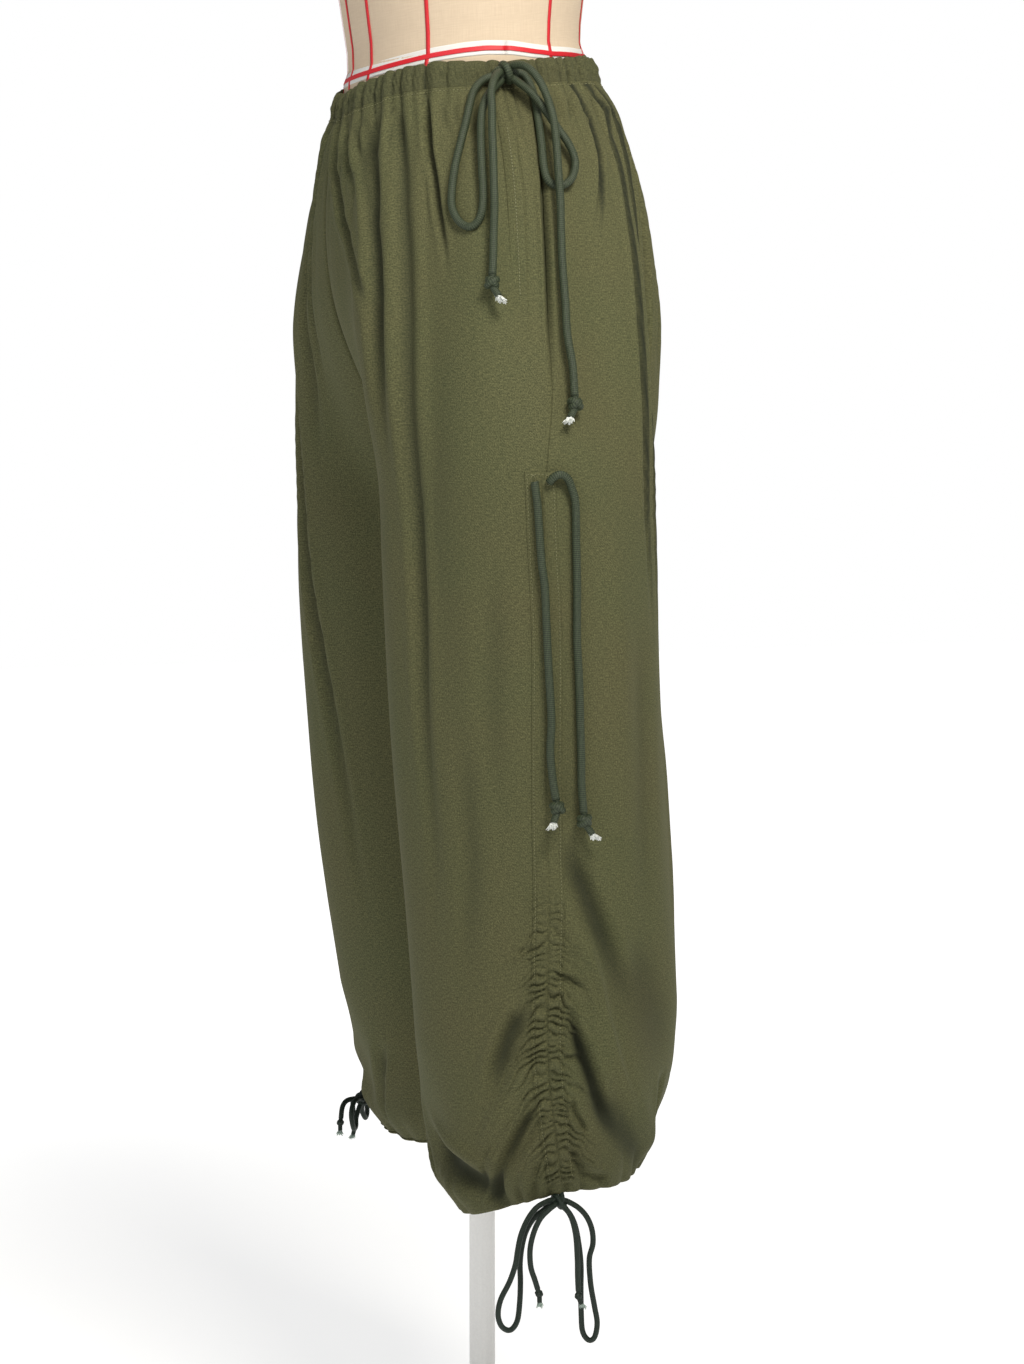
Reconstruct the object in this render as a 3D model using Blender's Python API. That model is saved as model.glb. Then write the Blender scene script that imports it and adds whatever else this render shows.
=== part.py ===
"""Parachute pants with drawcord waist, side channels and hems, worn by a dress form on a stand.

Metres, +Z up. The wearer faces -Y, and the wearer's left is +X. The origin is the centre of the
base's underside. A drop is a distance down from the back-to-front middle of the waist's top edge.
"""
import math

import bmesh
import bpy
import numpy as np
from mathutils import Vector

# ---- driving dimensions ----
WAIST_HEIGHT = 1.350  # the waist's top edge above the floor
FORM_X = 0.055  # the form's middle plane, so that the pole stands clear of the crotch
FORM_Y = -0.030  # the waist's middle, so that the pole stands clear of the hem too
WAIST_TILT = 0.123  # the waist's rise from front to back, as a slope
TILT_FADE = 0.26  # the drop where the tilt has gone
RISE = 0.360  # the drop of the crotch
HEM = 1.000  # the nominal drop of the hem; HEM_LEVEL gives its waves
CLOTH = 0.0015  # the wall of one layer of cloth
GAP = 0.0003  # between pieces that touch
BAND_DEPTH = 0.023  # the waist casing's depth
HEM_DEPTH = 0.020  # the hem casing's depth
GATHERS = 8  # gathers across one panel at the waist
GATHER_HEIGHT = 0.0060
PANEL_COLUMNS = 32
HEM_COLUMNS = 40
HEM_GATHERS = 10
STRIP_GAP = 0.0008  # under a strip that lies on a panel, for the panel's slanting facets
CHANNEL_TOP = 0.365  # the side channel's drops and half width
CHANNEL_END = 0.9790
CHANNEL_HALF = 0.0135
CHANNEL_RUCHE_FROM = 0.70
RUCHE_PITCH = 0.0088
RUCHE_HEIGHT = 0.0024
WAIST_CORD = 0.0070
SIDE_CORD = 0.0070
HEM_CORD = 0.0050
CORD_SPACING = 3.2  # the points along a cord, in cord thicknesses
CORD_END = 0.7  # the short straight at each end of a cord, in cord thicknesses
END_KNOT = 0.95  # an end knot's radius, in cord thicknesses
TIP_RADIUS = 0.0030
TIP_LENGTH = 0.0095

# Level sections: drop, half width of the whole, half depth, and each leg's middle from front to back.
SECTION_COLUMNS = ("drop", "half_width", "half_depth", "left_y", "right_y")
SECTIONS = (
    (0.000, 0.1310, 0.1120, -0.004, -0.004),
    (0.023, 0.1330, 0.1140, -0.003, -0.003),
    (0.036, 0.1460, 0.1210, -0.002, -0.002),
    (0.070, 0.1660, 0.1300, 0.001, 0.001),
    (0.107, 0.1840, 0.1370, 0.004, 0.004),
    (0.160, 0.2020, 0.1420, 0.006, 0.006),
    (0.220, 0.2180, 0.1420, 0.007, 0.005),
    (0.295, 0.2400, 0.1300, 0.008, 0.003),
    (0.360, 0.2560, 0.1200, 0.009, -0.003),
    (0.450, 0.2570, 0.1190, 0.012, -0.004),
    (0.600, 0.2560, 0.1180, 0.018, 0.005),
    (0.750, 0.2550, 0.1180, 0.028, 0.016),
    (0.880, 0.2530, 0.1170, 0.035, 0.033),
    (1.000, 0.2500, 0.1150, 0.040, 0.046),
)
# How far the side seam lies in front of the widest point, in degrees round the leg.
SEAM_COLUMNS = ("drop", "forward")
SEAM = ((0.0, 0.0), (0.2, 4.0), (0.36, 10.0), (0.5, 9.0), (0.7, 13.0), (0.9, 16.0), (1.0, 9.0))
# The share of the leg's section that is left as the hem cord draws it in.
TUCK_COLUMNS = ("drop", "front", "side", "back", "inner")
TUCK = (
    (0.800, 1.000, 1.000, 1.000, 1.000),
    (0.870, 1.000, 0.985, 1.000, 1.000),
    (0.920, 0.995, 0.950, 0.995, 0.990),
    (0.950, 0.985, 0.915, 0.940, 0.960),
    (0.980, 0.925, 0.865, 0.830, 0.890),
    (1.000, 0.770, 0.800, 0.720, 0.780),
)
# The hem's real drop in front, at the side, at the back and inside the leg.
HEM_LEVEL = {"front": 1.030, "side": 0.994, "back": 0.993, "inner": 1.020}
RIGHT_HEM_LIFT = 0.012
HEM_WAVE_FROM = 0.75
# The rows of a panel: nominal drops, closer where the cloth bends more.
ROWS = (0.0233, 0.037, 0.062, 0.100, 0.150, 0.220, 0.290, 0.335, 0.360, 0.48, 0.66, 0.82,
        0.91, 0.95, 0.9797)
# The largest folds: panel, share of the panel from its inner edge to the side seam, width as such
# a share, height (minus is a trough), and the drops where the fold starts and ends.
FOLD_COLUMNS = ("panel", "across", "drift", "width", "height", "top", "bottom")
FOLDS = (
    ("front", 0.22, -0.02, 0.10, -0.010, 0.05, 0.92),
    ("front", 0.46, 0.10, 0.12, 0.009, 0.08, 0.98),
    ("front", 0.62, 0.08, 0.08, -0.008, 0.06, 0.60),
    ("front", 0.80, 0.06, 0.07, 0.006, 0.03, 0.34),
    ("front", 0.33, 0.10, 0.07, 0.006, 0.04, 0.45),
    ("back", 0.20, 0.00, 0.09, -0.010, 0.04, 0.70),
    ("back", 0.36, 0.04, 0.07, 0.008, 0.03, 0.80),
    ("back", 0.50, 0.05, 0.06, -0.010, 0.03, 0.62),
    ("back", 0.64, 0.04, 0.08, 0.006, 0.05, 0.40),
    ("back", 0.84, -0.02, 0.07, -0.005, 0.06, 0.46),
    ("front", 0.60, -0.16, 0.12, -0.012, 0.86, 1.06),
    ("back", 0.74, -0.26, 0.12, -0.012, 0.84, 1.06),
)


def column(table, columns, name):
    return [row[columns.index(name)] for row in table]


def read(table, columns, name, drop):
    return float(np.interp(drop, column(table, columns, "drop"), column(table, columns, name)))


def smooth(value):
    value = min(max(value, 0.0), 1.0)
    return value * value * (3 - 2 * value)


def section(side, drop):
    """The leg's oval: its middle across and from front to back, and its half width and depth."""
    together = min(drop / RISE, 1.0) ** 2
    half = read(SECTIONS, SECTION_COLUMNS, "half_width", drop)
    a = half / (1 + together)
    y = read(SECTIONS, SECTION_COLUMNS, "left_y" if side > 0 else "right_y", drop)
    return half - a, y, a, read(SECTIONS, SECTION_COLUMNS, "half_depth", drop)


def inner_angle(side, drop):
    """How far round from the side a panel reaches: the middle seam, or below the crotch the inseam."""
    x, _, a, _ = section(side, drop)
    return math.acos(max((GAP / 2 - x) / a, -1.0)) if drop < RISE else math.pi - GAP / 2 / a


def shares(angle):
    """How much a direction counts as side, inner, back and front; they add up to 1."""
    x, y = math.cos(angle), math.sin(angle)
    return {
        "side": max(x, 0) ** 2,
        "inner": max(-x, 0) ** 2,
        "back": max(y, 0) ** 2,
        "front": max(-y, 0) ** 2,
    }


def cloth_point(side, drop, angle, out=0.0):
    """A point of the cloth's outer face. angle 0 is the wearer's side, and plus goes to the back."""
    x, y, a, b = section(side, drop)
    part = shares(angle)
    tuck = sum(part[k] * read(TUCK, TUCK_COLUMNS, k, drop) for k in part)
    normal = Vector((math.cos(angle) / a, math.sin(angle) / b, 0)).normalized()
    px = x + a * tuck * math.cos(angle) + out * normal.x
    py = y + b * tuck * math.sin(angle) + out * normal.y
    level = sum(part[k] * HEM_LEVEL[k] for k in part) - HEM - (RIGHT_HEM_LIFT if side < 0 else 0)
    real_drop = drop + level * smooth((drop - HEM_WAVE_FROM) / (HEM - HEM_WAVE_FROM))
    tilt = WAIST_TILT * py * (1 - smooth(drop / TILT_FADE))
    return Vector((FORM_X + side * max(px, GAP / 2), FORM_Y + py, WAIST_HEIGHT - real_drop + tilt))


def gather(across):
    """The height of the waist gathers across a panel, 0 at its edges, uneven from one to the next."""
    warped = across + 0.018 * math.sin(2 * math.pi * 2 * across)
    count = math.floor(min(warped * GATHERS, GATHERS - 0.001))
    uneven = 0.72 + 0.28 * math.sin(2.4 * count + 0.7)
    return GATHER_HEIGHT * uneven * (0.5 - 0.5 * math.cos(2 * math.pi * warped * GATHERS))


def fold_height(panel, across, drop):
    height = 0.0
    for row in FOLDS:
        fold = dict(zip(FOLD_COLUMNS, row))
        if fold["panel"] != panel or not fold["top"] < drop < fold["bottom"]:
            continue
        along = (drop - fold["top"]) / (fold["bottom"] - fold["top"])
        away = (across - fold["across"] - fold["drift"] * along) / fold["width"]
        height += fold["height"] * math.exp(-away * away) * math.sin(math.pi * along) ** 0.7
    edge = smooth(min(across, 1 - across) / 0.06)
    return height * edge


def panel_angle(panel, side, drop, across):
    """The angle at a share across a panel, from its inner edge (0) to the side seam (1)."""
    seam = -math.radians(read(SEAM, SEAM_COLUMNS, "forward", drop))
    _, _, a, _ = section(side, drop)
    half_gap = GAP / 2 / a
    turn = -1 if panel == "front" else 1
    start = turn * inner_angle(side, drop)
    end = seam + turn * half_gap
    return start + (end - start) * across


def panel_out(panel, side, drop, across):
    fade = 1 - smooth((drop - 0.03) / 0.22)
    mirrored = across if side > 0 else across + 0.02 * math.sin(2 * math.pi * across)
    return gather(mirrored) * fade + fold_height(panel, mirrored, drop)


def new_object(name, points, faces, material, sharp=50):
    mesh = bpy.data.meshes.new(name)
    mesh.from_pydata([tuple(p) for p in points], [], faces)
    bm = bmesh.new()
    bm.from_mesh(mesh)
    bmesh.ops.recalc_face_normals(bm, faces=bm.faces)
    if bm.calc_volume(signed=True) < 0:
        bmesh.ops.reverse_faces(bm, faces=bm.faces)
    bm.to_mesh(mesh)
    bm.free()
    mesh.shade_smooth()
    mesh.set_sharp_from_angle(angle=math.radians(sharp))
    obj = bpy.data.objects.new(name, mesh)
    obj.data.materials.append(material)
    bpy.context.scene.collection.objects.link(obj)
    return obj


def wall(name, outer, inner, material, ring=False):
    """A closed wall between two grids, rows by columns; ring joins the last column to the first."""
    rows, cols = len(outer), len(outer[0])
    count = rows * cols
    points = [p for row in outer for p in row] + [p for row in inner for p in row]
    faces = []
    last = cols if ring else cols - 1
    for r in range(rows - 1):
        for c in range(last):
            d = (c + 1) % cols
            quad = (r * cols + c, r * cols + d, (r + 1) * cols + d, (r + 1) * cols + c)
            faces.append(quad)
            faces.append(tuple(count + i for i in reversed(quad)))
    for r in (0, rows - 1):
        for c in range(last):
            i, j = r * cols + c, r * cols + (c + 1) % cols
            faces.append((i, j, count + j, count + i) if r else (j, i, count + i, count + j))
    if not ring:
        for c in (0, cols - 1):
            for r in range(rows - 1):
                i, j = r * cols + c, (r + 1) * cols + c
                faces.append((j, i, count + i, count + j) if c else (i, j, count + j, count + i))
    return new_object(name, points, faces, material)


def material(name, colour, roughness, metallic=0.0):
    mat = bpy.data.materials.new(name)
    mat.use_nodes = True
    shader = mat.node_tree.nodes["Principled BSDF"]
    shader.inputs["Base Color"].default_value = (*colour, 1.0)
    shader.inputs["Roughness"].default_value = roughness
    shader.inputs["Metallic"].default_value = metallic
    mat.diffuse_color = (*colour, 1.0)
    return mat


# ---- cloth ----


def panel_grid(panel, side, rows, shift):
    grid = []
    for drop in rows:
        line = []
        for c in range(PANEL_COLUMNS + 1):
            across = c / PANEL_COLUMNS
            angle = panel_angle(panel, side, drop, across)
            line.append(cloth_point(side, drop, angle, panel_out(panel, side, drop, across) - shift))
        grid.append(line)
    return grid


def make_panel(panel, side, name, cloth):
    outer = panel_grid(panel, side, ROWS, 0.0)
    inner = panel_grid(panel, side, ROWS, CLOTH)
    return wall(name, outer, inner, cloth)


def make_waistband(cloth):
    """One ring round both legs' sections, gathered in line with the panels."""
    levels = (0.0, 0.55 * BAND_DEPTH, BAND_DEPTH - GAP)
    bulge = (0.0, 0.0018, 0.0)
    outer, inner = [], []
    for drop, extra in zip(levels, bulge):
        out_row, in_row = [], []
        for side, panel, step in ((1, "front", 1), (1, "back", -1), (-1, "back", 1), (-1, "front", -1)):
            for c in range(PANEL_COLUMNS):
                across = (c if step > 0 else PANEL_COLUMNS - c) / PANEL_COLUMNS
                turn = -1 if panel == "front" else 1
                angle = turn * math.pi / 2 * (1 - across)
                height = gather(across) * (1.0 if 0 < drop else 0.8)
                out_row.append(cloth_point(side, drop, angle, height + extra))
                in_row.append(cloth_point(side, drop, angle, -2 * CLOTH + 0.6 * height))
        outer.append(out_row)
        inner.append(in_row)
    return wall("waistband", outer, inner, cloth, ring=True)


def make_hem_casing(side, name, cloth):
    outer, inner = [], []
    levels = (HEM - HEM_DEPTH, HEM - 0.4 * HEM_DEPTH, HEM)
    bulge = (0.0, 0.0018, 0.0)
    for drop, extra in zip(levels, bulge):
        out_row, in_row = [], []
        for c in range(HEM_COLUMNS):
            share = c / HEM_COLUMNS
            angle = 2 * math.pi * share
            ripple = 0.003 * (0.5 - 0.5 * math.cos(HEM_GATHERS * angle)) * (0.7 + 0.3 * math.sin(3 * angle))
            fade = smooth((drop - HEM + HEM_DEPTH) / HEM_DEPTH * 1.5)
            out_row.append(cloth_point(side, drop, angle, ripple * fade + extra))
            in_row.append(cloth_point(side, drop, angle, ripple * fade - 2 * CLOTH))
        outer.append(out_row)
        inner.append(in_row)
    return wall(name, outer, inner, cloth, ring=True)


def facet_point(panel, side, drop, across, out):
    """A point on the panel's own flat facets, moved out."""
    r = min(max(int(np.searchsorted(ROWS, drop)), 1), len(ROWS) - 1)
    c = min(int(across * PANEL_COLUMNS), PANEL_COLUMNS - 1)
    down = (drop - ROWS[r - 1]) / (ROWS[r] - ROWS[r - 1])
    along = across * PANEL_COLUMNS - c
    corners = []
    for row in (ROWS[r - 1], ROWS[r]):
        for k in (c, c + 1):
            share = k / PANEL_COLUMNS
            height = panel_out(panel, side, row, share)
            corners.append(cloth_point(side, row, panel_angle(panel, side, row, share), height + out))
    upper = corners[0].lerp(corners[1], along)
    lower = corners[2].lerp(corners[3], along)
    return upper.lerp(lower, down)


def on_side(side, drop, back, out):
    """A point of a side, a distance back from the side seam and out from the cloth."""
    panel = "back" if back > 0 else "front"
    seam = panel_angle(panel, side, drop, 1.0)
    span = abs(panel_angle(panel, side, drop, 0.0) - seam)
    reach = 2 * section(side, drop)[3] * span / 2
    return facet_point(panel, side, drop, 1 - abs(back) / reach, out)


def make_strip(name, side, rows, columns, half, cloth, ripple, centre=0.0):
    """A strip that lies on a side's panels."""
    outer, inner = [], []
    for drop in rows:
        out_row, in_row = [], []
        for back in columns:
            raised = ripple(drop, back / half)
            out_row.append(on_side(side, drop, centre + back, STRIP_GAP + CLOTH + raised))
            in_row.append(on_side(side, drop, centre + back, STRIP_GAP + 0.5 * raised))
        outer.append(out_row)
        inner.append(in_row)
    return wall(name, outer, inner, cloth)


def ruche(drop, across):
    strength = smooth((drop - CHANNEL_RUCHE_FROM) / 0.16)
    wave = 0.5 - 0.5 * math.cos(2 * math.pi * (drop - CHANNEL_RUCHE_FROM) / RUCHE_PITCH)
    valley = 0.35 + 0.65 * abs(across)
    return RUCHE_HEIGHT * strength * wave * valley


def make_channel(side, name, cloth):
    rows = [CHANNEL_TOP, 0.42, 0.50, 0.58, 0.65, CHANNEL_RUCHE_FROM]
    drop = CHANNEL_RUCHE_FROM
    while drop + RUCHE_PITCH / 2 < CHANNEL_END:
        drop += RUCHE_PITCH / 2
        rows.append(drop)
    columns = [CHANNEL_HALF * k for k in (-1, 0, 1)]
    return make_strip(name, side, rows, columns, CHANNEL_HALF, cloth, ruche)


def make_pocket_edge(side, name, cloth):
    rows = (0.050, 0.062, 0.081, 0.100, 0.125, 0.150, 0.185, 0.212)
    columns = (-0.005, 0.0, 0.005)
    return make_strip(name, side, rows, columns, 0.005, cloth, lambda drop, across: 0.0006, centre=-0.014)


# ---- cords: routes chosen by hand, in millimetres ----
# back: from the waist's middle, plus towards the back; drop: below the waist; out: from the
# middle plane between the legs. Each cord's two middle values stand clear of the cloth.
WAIST_KNOT = (-10, 16, 144)
WAIST_KNOT_RADIUS = 0.0085
WAIST_CORDS = {
    "waist_loop_front": ((-21, 18, 143), (-32, 23, 144.5), (-41, 33, 149), (-47, 47, 156), (-52, 62, 161),
                         (-58, 80, 165), (-64, 100, 169), (-68, 120, 173), (-69, 135, 177), (-65, 147, 184),
                         (-58, 152, 191), (-52, 148, 195), (-48, 138, 196), (-46, 122, 193), (-45, 99, 186),
                         (-43, 76, 177), (-40, 56, 169), (-35, 42, 163), (-26, 31, 156), (-17, 24, 149)),
    "waist_end_front": ((-16, 16, 150), (-22, 18, 158.5), (-28, 25, 166), (-32, 36, 172), (-33, 50, 177),
                        (-35, 68, 184), (-37, 90, 193), (-39, 112, 201), (-40, 134, 206), (-42, 158, 210),
                        (-44, 178, 215), (-46, 194, 219)),
    "waist_loop_back": ((1, 14, 144), (7, 17, 145), (11, 25, 148), (13, 38, 156), (12, 54, 167),
                        (11, 78, 180), (10, 98, 189), (12, 110, 193), (18, 115, 194), (26, 115, 193),
                        (34, 110, 191), (39, 101, 187), (40, 91, 184), (36, 79, 181), (29, 68, 178),
                        (21, 56, 175), (13, 44, 172), (5, 32, 164), (-2, 24, 155)),
    "waist_end_back": ((-6, 9, 152), (0, 10, 160), (6, 15, 167), (12, 25, 173), (17, 40, 179), (20, 60, 187),
                       (20, 84, 195), (19, 108, 203), (19, 132, 208), (18, 162, 213), (17, 189, 220),
                       (17, 216, 227), (16, 244, 235), (18, 270, 243), (18, 297, 249)),
}
SIDE_CORDS = {
    "side_end_front": ((-21, 369, 258), (-19, 389, 260), (-18, 407, 261), (-16, 437, 262), (-13, 460, 262),
                       (-11, 503, 262), (-9, 538, 262), (-7, 572, 262), (-8, 600, 262), (-6, 624, 263),
                       (-4, 641, 266)),
    "side_end_back": ((-9, 370, 260.2), (-5, 365, 263), (1, 363, 264), (7, 367, 264), (11, 376, 263),
                      (14, 388, 263), (15, 419, 262), (16, 460, 262), (16, 503, 262), (18, 539, 262),
                      (19, 573, 262), (20, 603, 262), (20, 630, 263), (21, 653, 266)),
}
# The hem bows: rows are back, down and out from the bow's own knot.
HEM_KNOT_RADIUS = 0.0070
HEM_CORDS = {
    "left_hem_loop_front": ((-10, -2, 1), (-20, 3, 3), (-29, 13, 4), (-35, 26, 4), (-38, 39, 4),
                            (-40, 53, 3), (-45, 68, 2), (-53, 84, 1), (-55, 98, 0), (-51, 109, -1),
                            (-43, 113, -2), (-36, 106, -4), (-33, 90, -6), (-32, 72, -7), (-32, 55, -8),
                            (-30, 39, -8), (-26, 26, -8), (-19, 15, -7), (-10, 8, -6), (-5, 4, -4)),
    "left_hem_end_front": ((-5, 1, 8), (-12, 4, 11), (-20, 11, 12), (-26, 23, 12), (-29, 38, 11),
                           (-28, 54, 10), (-24, 66, 9), (-21, 75, 8)),
    "left_hem_loop_back": ((10, 0, 1), (18, 6, 3), (26, 15, 4), (31, 27, 4), (32, 40, 4), (29, 54, 3),
                           (31, 77, 1), (35, 98, 0), (38, 114, -1), (36, 127, -2), (31, 130, -4),
                           (26, 122, -6), (25, 105, -7), (25, 84, -8), (25, 62, -8), (23, 43, -8),
                           (19, 25, -7), (13, 13, -6), (5, 5, -4)),
    "left_hem_end_back": ((4, 3, 8), (9, 12, 11), (13, 28, 12), (15, 50, 11), (16, 66, 9), (17, 80, 8)),
    "right_hem_loop_front": ((-10, -3, 2), (-18, -3, 4), (-26, 1, 5), (-31, 9, 5), (-30, 19, 4),
                             (-24, 25, 4), (-17, 23, 4), (-12, 16, 5), (-7, 9, 5)),
    "right_hem_end_front": ((-6, -2, 9), (-13, -1, 14), (-20, 4, 17), (-26, 14, 17)),
    "right_hem_loop_back": ((10, -3, 2), (17, -2, 4), (25, 3, 5), (29, 11, 5), (27, 20, 4), (21, 24, 4),
                            (15, 21, 4), (11, 15, 5), (7, 9, 5)),
    "right_hem_end_back": ((5, 1, 9), (10, 5, 14), (13, 15, 15), (13, 27, 14)),
}
# Where a hem bow's knot is: degrees round the leg, and the way that the bow faces.
HEM_BOWS = {1: {"angle": -17.0, "facing": 0.0}, -1: {"angle": -60.0, "facing": -60.0}}
RIGHT_KNOT_DROP = 0.990


def cord_point(side, row):
    back, drop, out = (v / 1000 for v in row)
    leg_y = "left_y" if side > 0 else "right_y"
    shift = read(SECTIONS, SECTION_COLUMNS, leg_y, drop) - read(SECTIONS, SECTION_COLUMNS, "left_y", drop)
    return Vector((FORM_X + side * out, FORM_Y + back + shift, WAIST_HEIGHT - drop))


def hem_knot(side):
    angle = math.radians(HEM_BOWS[side]["angle"])
    if side > 0:
        return cloth_point(side, HEM, angle, -CLOTH) - Vector((0, 0, HEM_KNOT_RADIUS + 2 * GAP))
    return cloth_point(side, RIGHT_KNOT_DROP, angle, HEM_KNOT_RADIUS + 0.0045)


def hem_cord_point(side, row):
    back, down, out = (v / 1000 for v in row)
    facing = math.radians(HEM_BOWS[side]["facing"])
    outward = Vector((side * math.cos(facing), math.sin(facing), 0))
    backward = Vector((-side * math.sin(facing), math.cos(facing), 0))
    return hem_knot(side) + back * backward - Vector((0, 0, down)) + out * outward


def from_knot(centre, radius, points, thick):
    """The route with its first points set straight out from a knot's surface."""
    way = (points[0] - centre).normalized()
    start = centre + way * (radius + GAP)
    return [start, start + way * 0.6 * thick, *points[1:]]


def knot_to_knot(centre, radius, points, thick):
    there = from_knot(centre, radius, points, thick)
    return list(reversed(from_knot(centre, radius, list(reversed(there)), thick)))


def through(points, spacing, end):
    """Points along a smooth curve through a route's own points: evenly spaced, with short ends."""
    pts = [Vector(p) for p in points]
    full = [2 * pts[0] - pts[1], *pts, 2 * pts[-1] - pts[-2]]
    fine = []
    for i in range(1, len(full) - 2):
        a, b, c, d = full[i - 1 : i + 3]
        for k in range(12):
            t = k / 12
            fine.append(0.5 * (2 * b + (c - a) * t + (2 * a - 5 * b + 4 * c - d) * t * t
                               + (3 * b - a - 3 * c + d) * t**3))
    fine.append(pts[-1])
    steps = np.array([(q - p).length for p, q in zip(fine, fine[1:])])
    along = np.concatenate([[0], np.cumsum(steps)])
    count = max(3, round(along[-1] / spacing) + 1)
    at = np.concatenate([[0], np.linspace(end, along[-1] - end, count - 2), [along[-1]]])
    axes = [np.interp(at, along, [p[k] for p in fine]) for k in range(3)]
    return [Vector(p) for p in zip(*axes)]


def link(obj, finish):
    obj.data.materials.append(finish)
    bpy.context.scene.collection.objects.link(obj)
    return obj


def make_cord(name, points, thick, cord):
    data = bpy.data.curves.new(name, "CURVE")
    data.dimensions = "3D"
    data.bevel_depth = thick / 2
    data.bevel_resolution = 2
    data.use_fill_caps = True
    route = through(points, CORD_SPACING * thick, CORD_END * thick)
    spline = data.splines.new("POLY")
    spline.points.add(len(route) - 1)
    for p, q in zip(spline.points, route):
        p.co = (*q, 1.0)
    return link(bpy.data.objects.new(name, data), cord)


def mesh_object(name, bm, finish):
    mesh = bpy.data.meshes.new(name)
    bm.to_mesh(mesh)
    bm.free()
    mesh.shade_smooth()
    mesh.set_sharp_from_angle(angle=math.radians(50))
    return link(bpy.data.objects.new(name, mesh), finish)


def make_knot(name, centre, radius, cord):
    """A knot's rounded outer form."""
    bm = bmesh.new()
    bmesh.ops.create_icosphere(bm, subdivisions=2, radius=radius)
    bmesh.ops.translate(bm, verts=bm.verts, vec=centre)
    return mesh_object(name, bm, cord)


def make_end(name, route, thick, cord, tip):
    """The knot at a cord's end and the pale tip below it, in line with the cord."""
    way = (route[-1] - route[-2]).normalized()
    radius = END_KNOT * thick
    knot_at = route[-1] + way * (radius + GAP)
    make_knot(name + "_knot", knot_at, radius, cord)
    bm = bmesh.new()
    bmesh.ops.create_cone(bm, segments=8, radius1=TIP_RADIUS, radius2=TIP_RADIUS * 0.8, depth=TIP_LENGTH,
                          cap_ends=True)
    turn = Vector((0, 0, 1)).rotation_difference(way)
    bmesh.ops.rotate(bm, verts=bm.verts, matrix=turn.to_matrix())
    bmesh.ops.translate(bm, verts=bm.verts, vec=knot_at + way * (radius + GAP + TIP_LENGTH / 2))
    mesh_object(name + "_tip", bm, tip)


def make_tied(name, points, centre, radius, thick, cord, tip):
    """A loop goes from its bow's knot and back to it, and an end goes to a knot of its own."""
    if "loop" in name:
        make_cord(name, knot_to_knot(centre, radius, points, thick), thick, cord)
    else:
        route = from_knot(centre, radius, points, thick)
        make_cord(name, route, thick, cord)
        make_end(name, route, thick, cord, tip)


def make_cords(cord, tip):
    centre = cord_point(1, WAIST_KNOT)
    make_knot("waist_knot", centre, WAIST_KNOT_RADIUS, cord)
    for name, rows in WAIST_CORDS.items():
        points = [cord_point(1, row) for row in rows]
        make_tied(name, points, centre, WAIST_KNOT_RADIUS, WAIST_CORD, cord, tip)
    for side, word in ((1, "left"), (-1, "right")):
        for name, rows in SIDE_CORDS.items():
            route = [cord_point(side, row) for row in rows]
            make_cord(f"{word}_{name}", route, SIDE_CORD, cord)
            make_end(f"{word}_{name}", route, SIDE_CORD, cord, tip)
        make_knot(f"{word}_hem_knot", hem_knot(side), HEM_KNOT_RADIUS, cord)
        for name, rows in HEM_CORDS.items():
            if name.startswith(word):
                points = [hem_cord_point(side, row) for row in rows]
                make_tied(name, points, hem_knot(side), HEM_KNOT_RADIUS, HEM_CORD, cord, tip)


# ---- the dress form and its stand ----
# height above the waist, half width, half depth, middle from front to back
FORM_COLUMNS = ("height", "half_width", "half_depth", "y")
FORM = (
    (-0.240, 0.150, 0.092, 0.000),
    (-0.170, 0.160, 0.112, -0.001),
    (-0.120, 0.156, 0.115, -0.002),
    (-0.060, 0.144, 0.113, -0.003),
    (-0.0225, 0.1292, 0.1102, -0.003),
    (0.002, 0.1274, 0.1084, -0.004),
    (0.012, 0.1262, 0.1045, -0.004),
    (0.030, 0.1270, 0.1050, -0.004),
    (0.070, 0.1340, 0.1100, -0.005),
    (0.130, 0.1480, 0.1180, -0.006),
    (0.200, 0.1640, 0.1230, -0.008),
    (0.270, 0.1730, 0.1140, -0.008),
    (0.330, 0.1760, 0.0960, -0.003),
    (0.362, 0.1560, 0.0840, 0.002),
    (0.385, 0.0980, 0.0720, 0.006),
    (0.406, 0.0620, 0.0600, 0.006),
    (0.470, 0.0550, 0.0570, 0.002),
)
FORM_COLUMNS_ROUND = 28
POLE_RADIUS = 0.0125
BASE_RADIUS = 0.200
BASE_HEIGHT = 0.020
CAP_HEIGHT = 0.012


def ring_points(height, half_width, half_depth, y, count):
    tilt_share = 1 - smooth(abs(height) / TILT_FADE)
    points = []
    for k in range(count):
        angle = 2 * math.pi * k / count
        py = y + half_depth * math.sin(angle)
        z = WAIST_HEIGHT + height + WAIST_TILT * py * tilt_share
        points.append(Vector((FORM_X + half_width * math.cos(angle), FORM_Y + py, z)))
    return points


def make_form(linen):
    points, faces = [], []
    n = FORM_COLUMNS_ROUND
    for row in FORM:
        points += ring_points(*row, n)
    for r in range(len(FORM) - 1):
        for c in range(n):
            d = (c + 1) % n
            faces.append((r * n + c, r * n + d, (r + 1) * n + d, (r + 1) * n + c))
    faces.append(tuple(reversed(range(n))))
    faces.append(tuple(range((len(FORM) - 1) * n, len(FORM) * n)))
    return new_object("dress_form", points, faces, linen)


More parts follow.
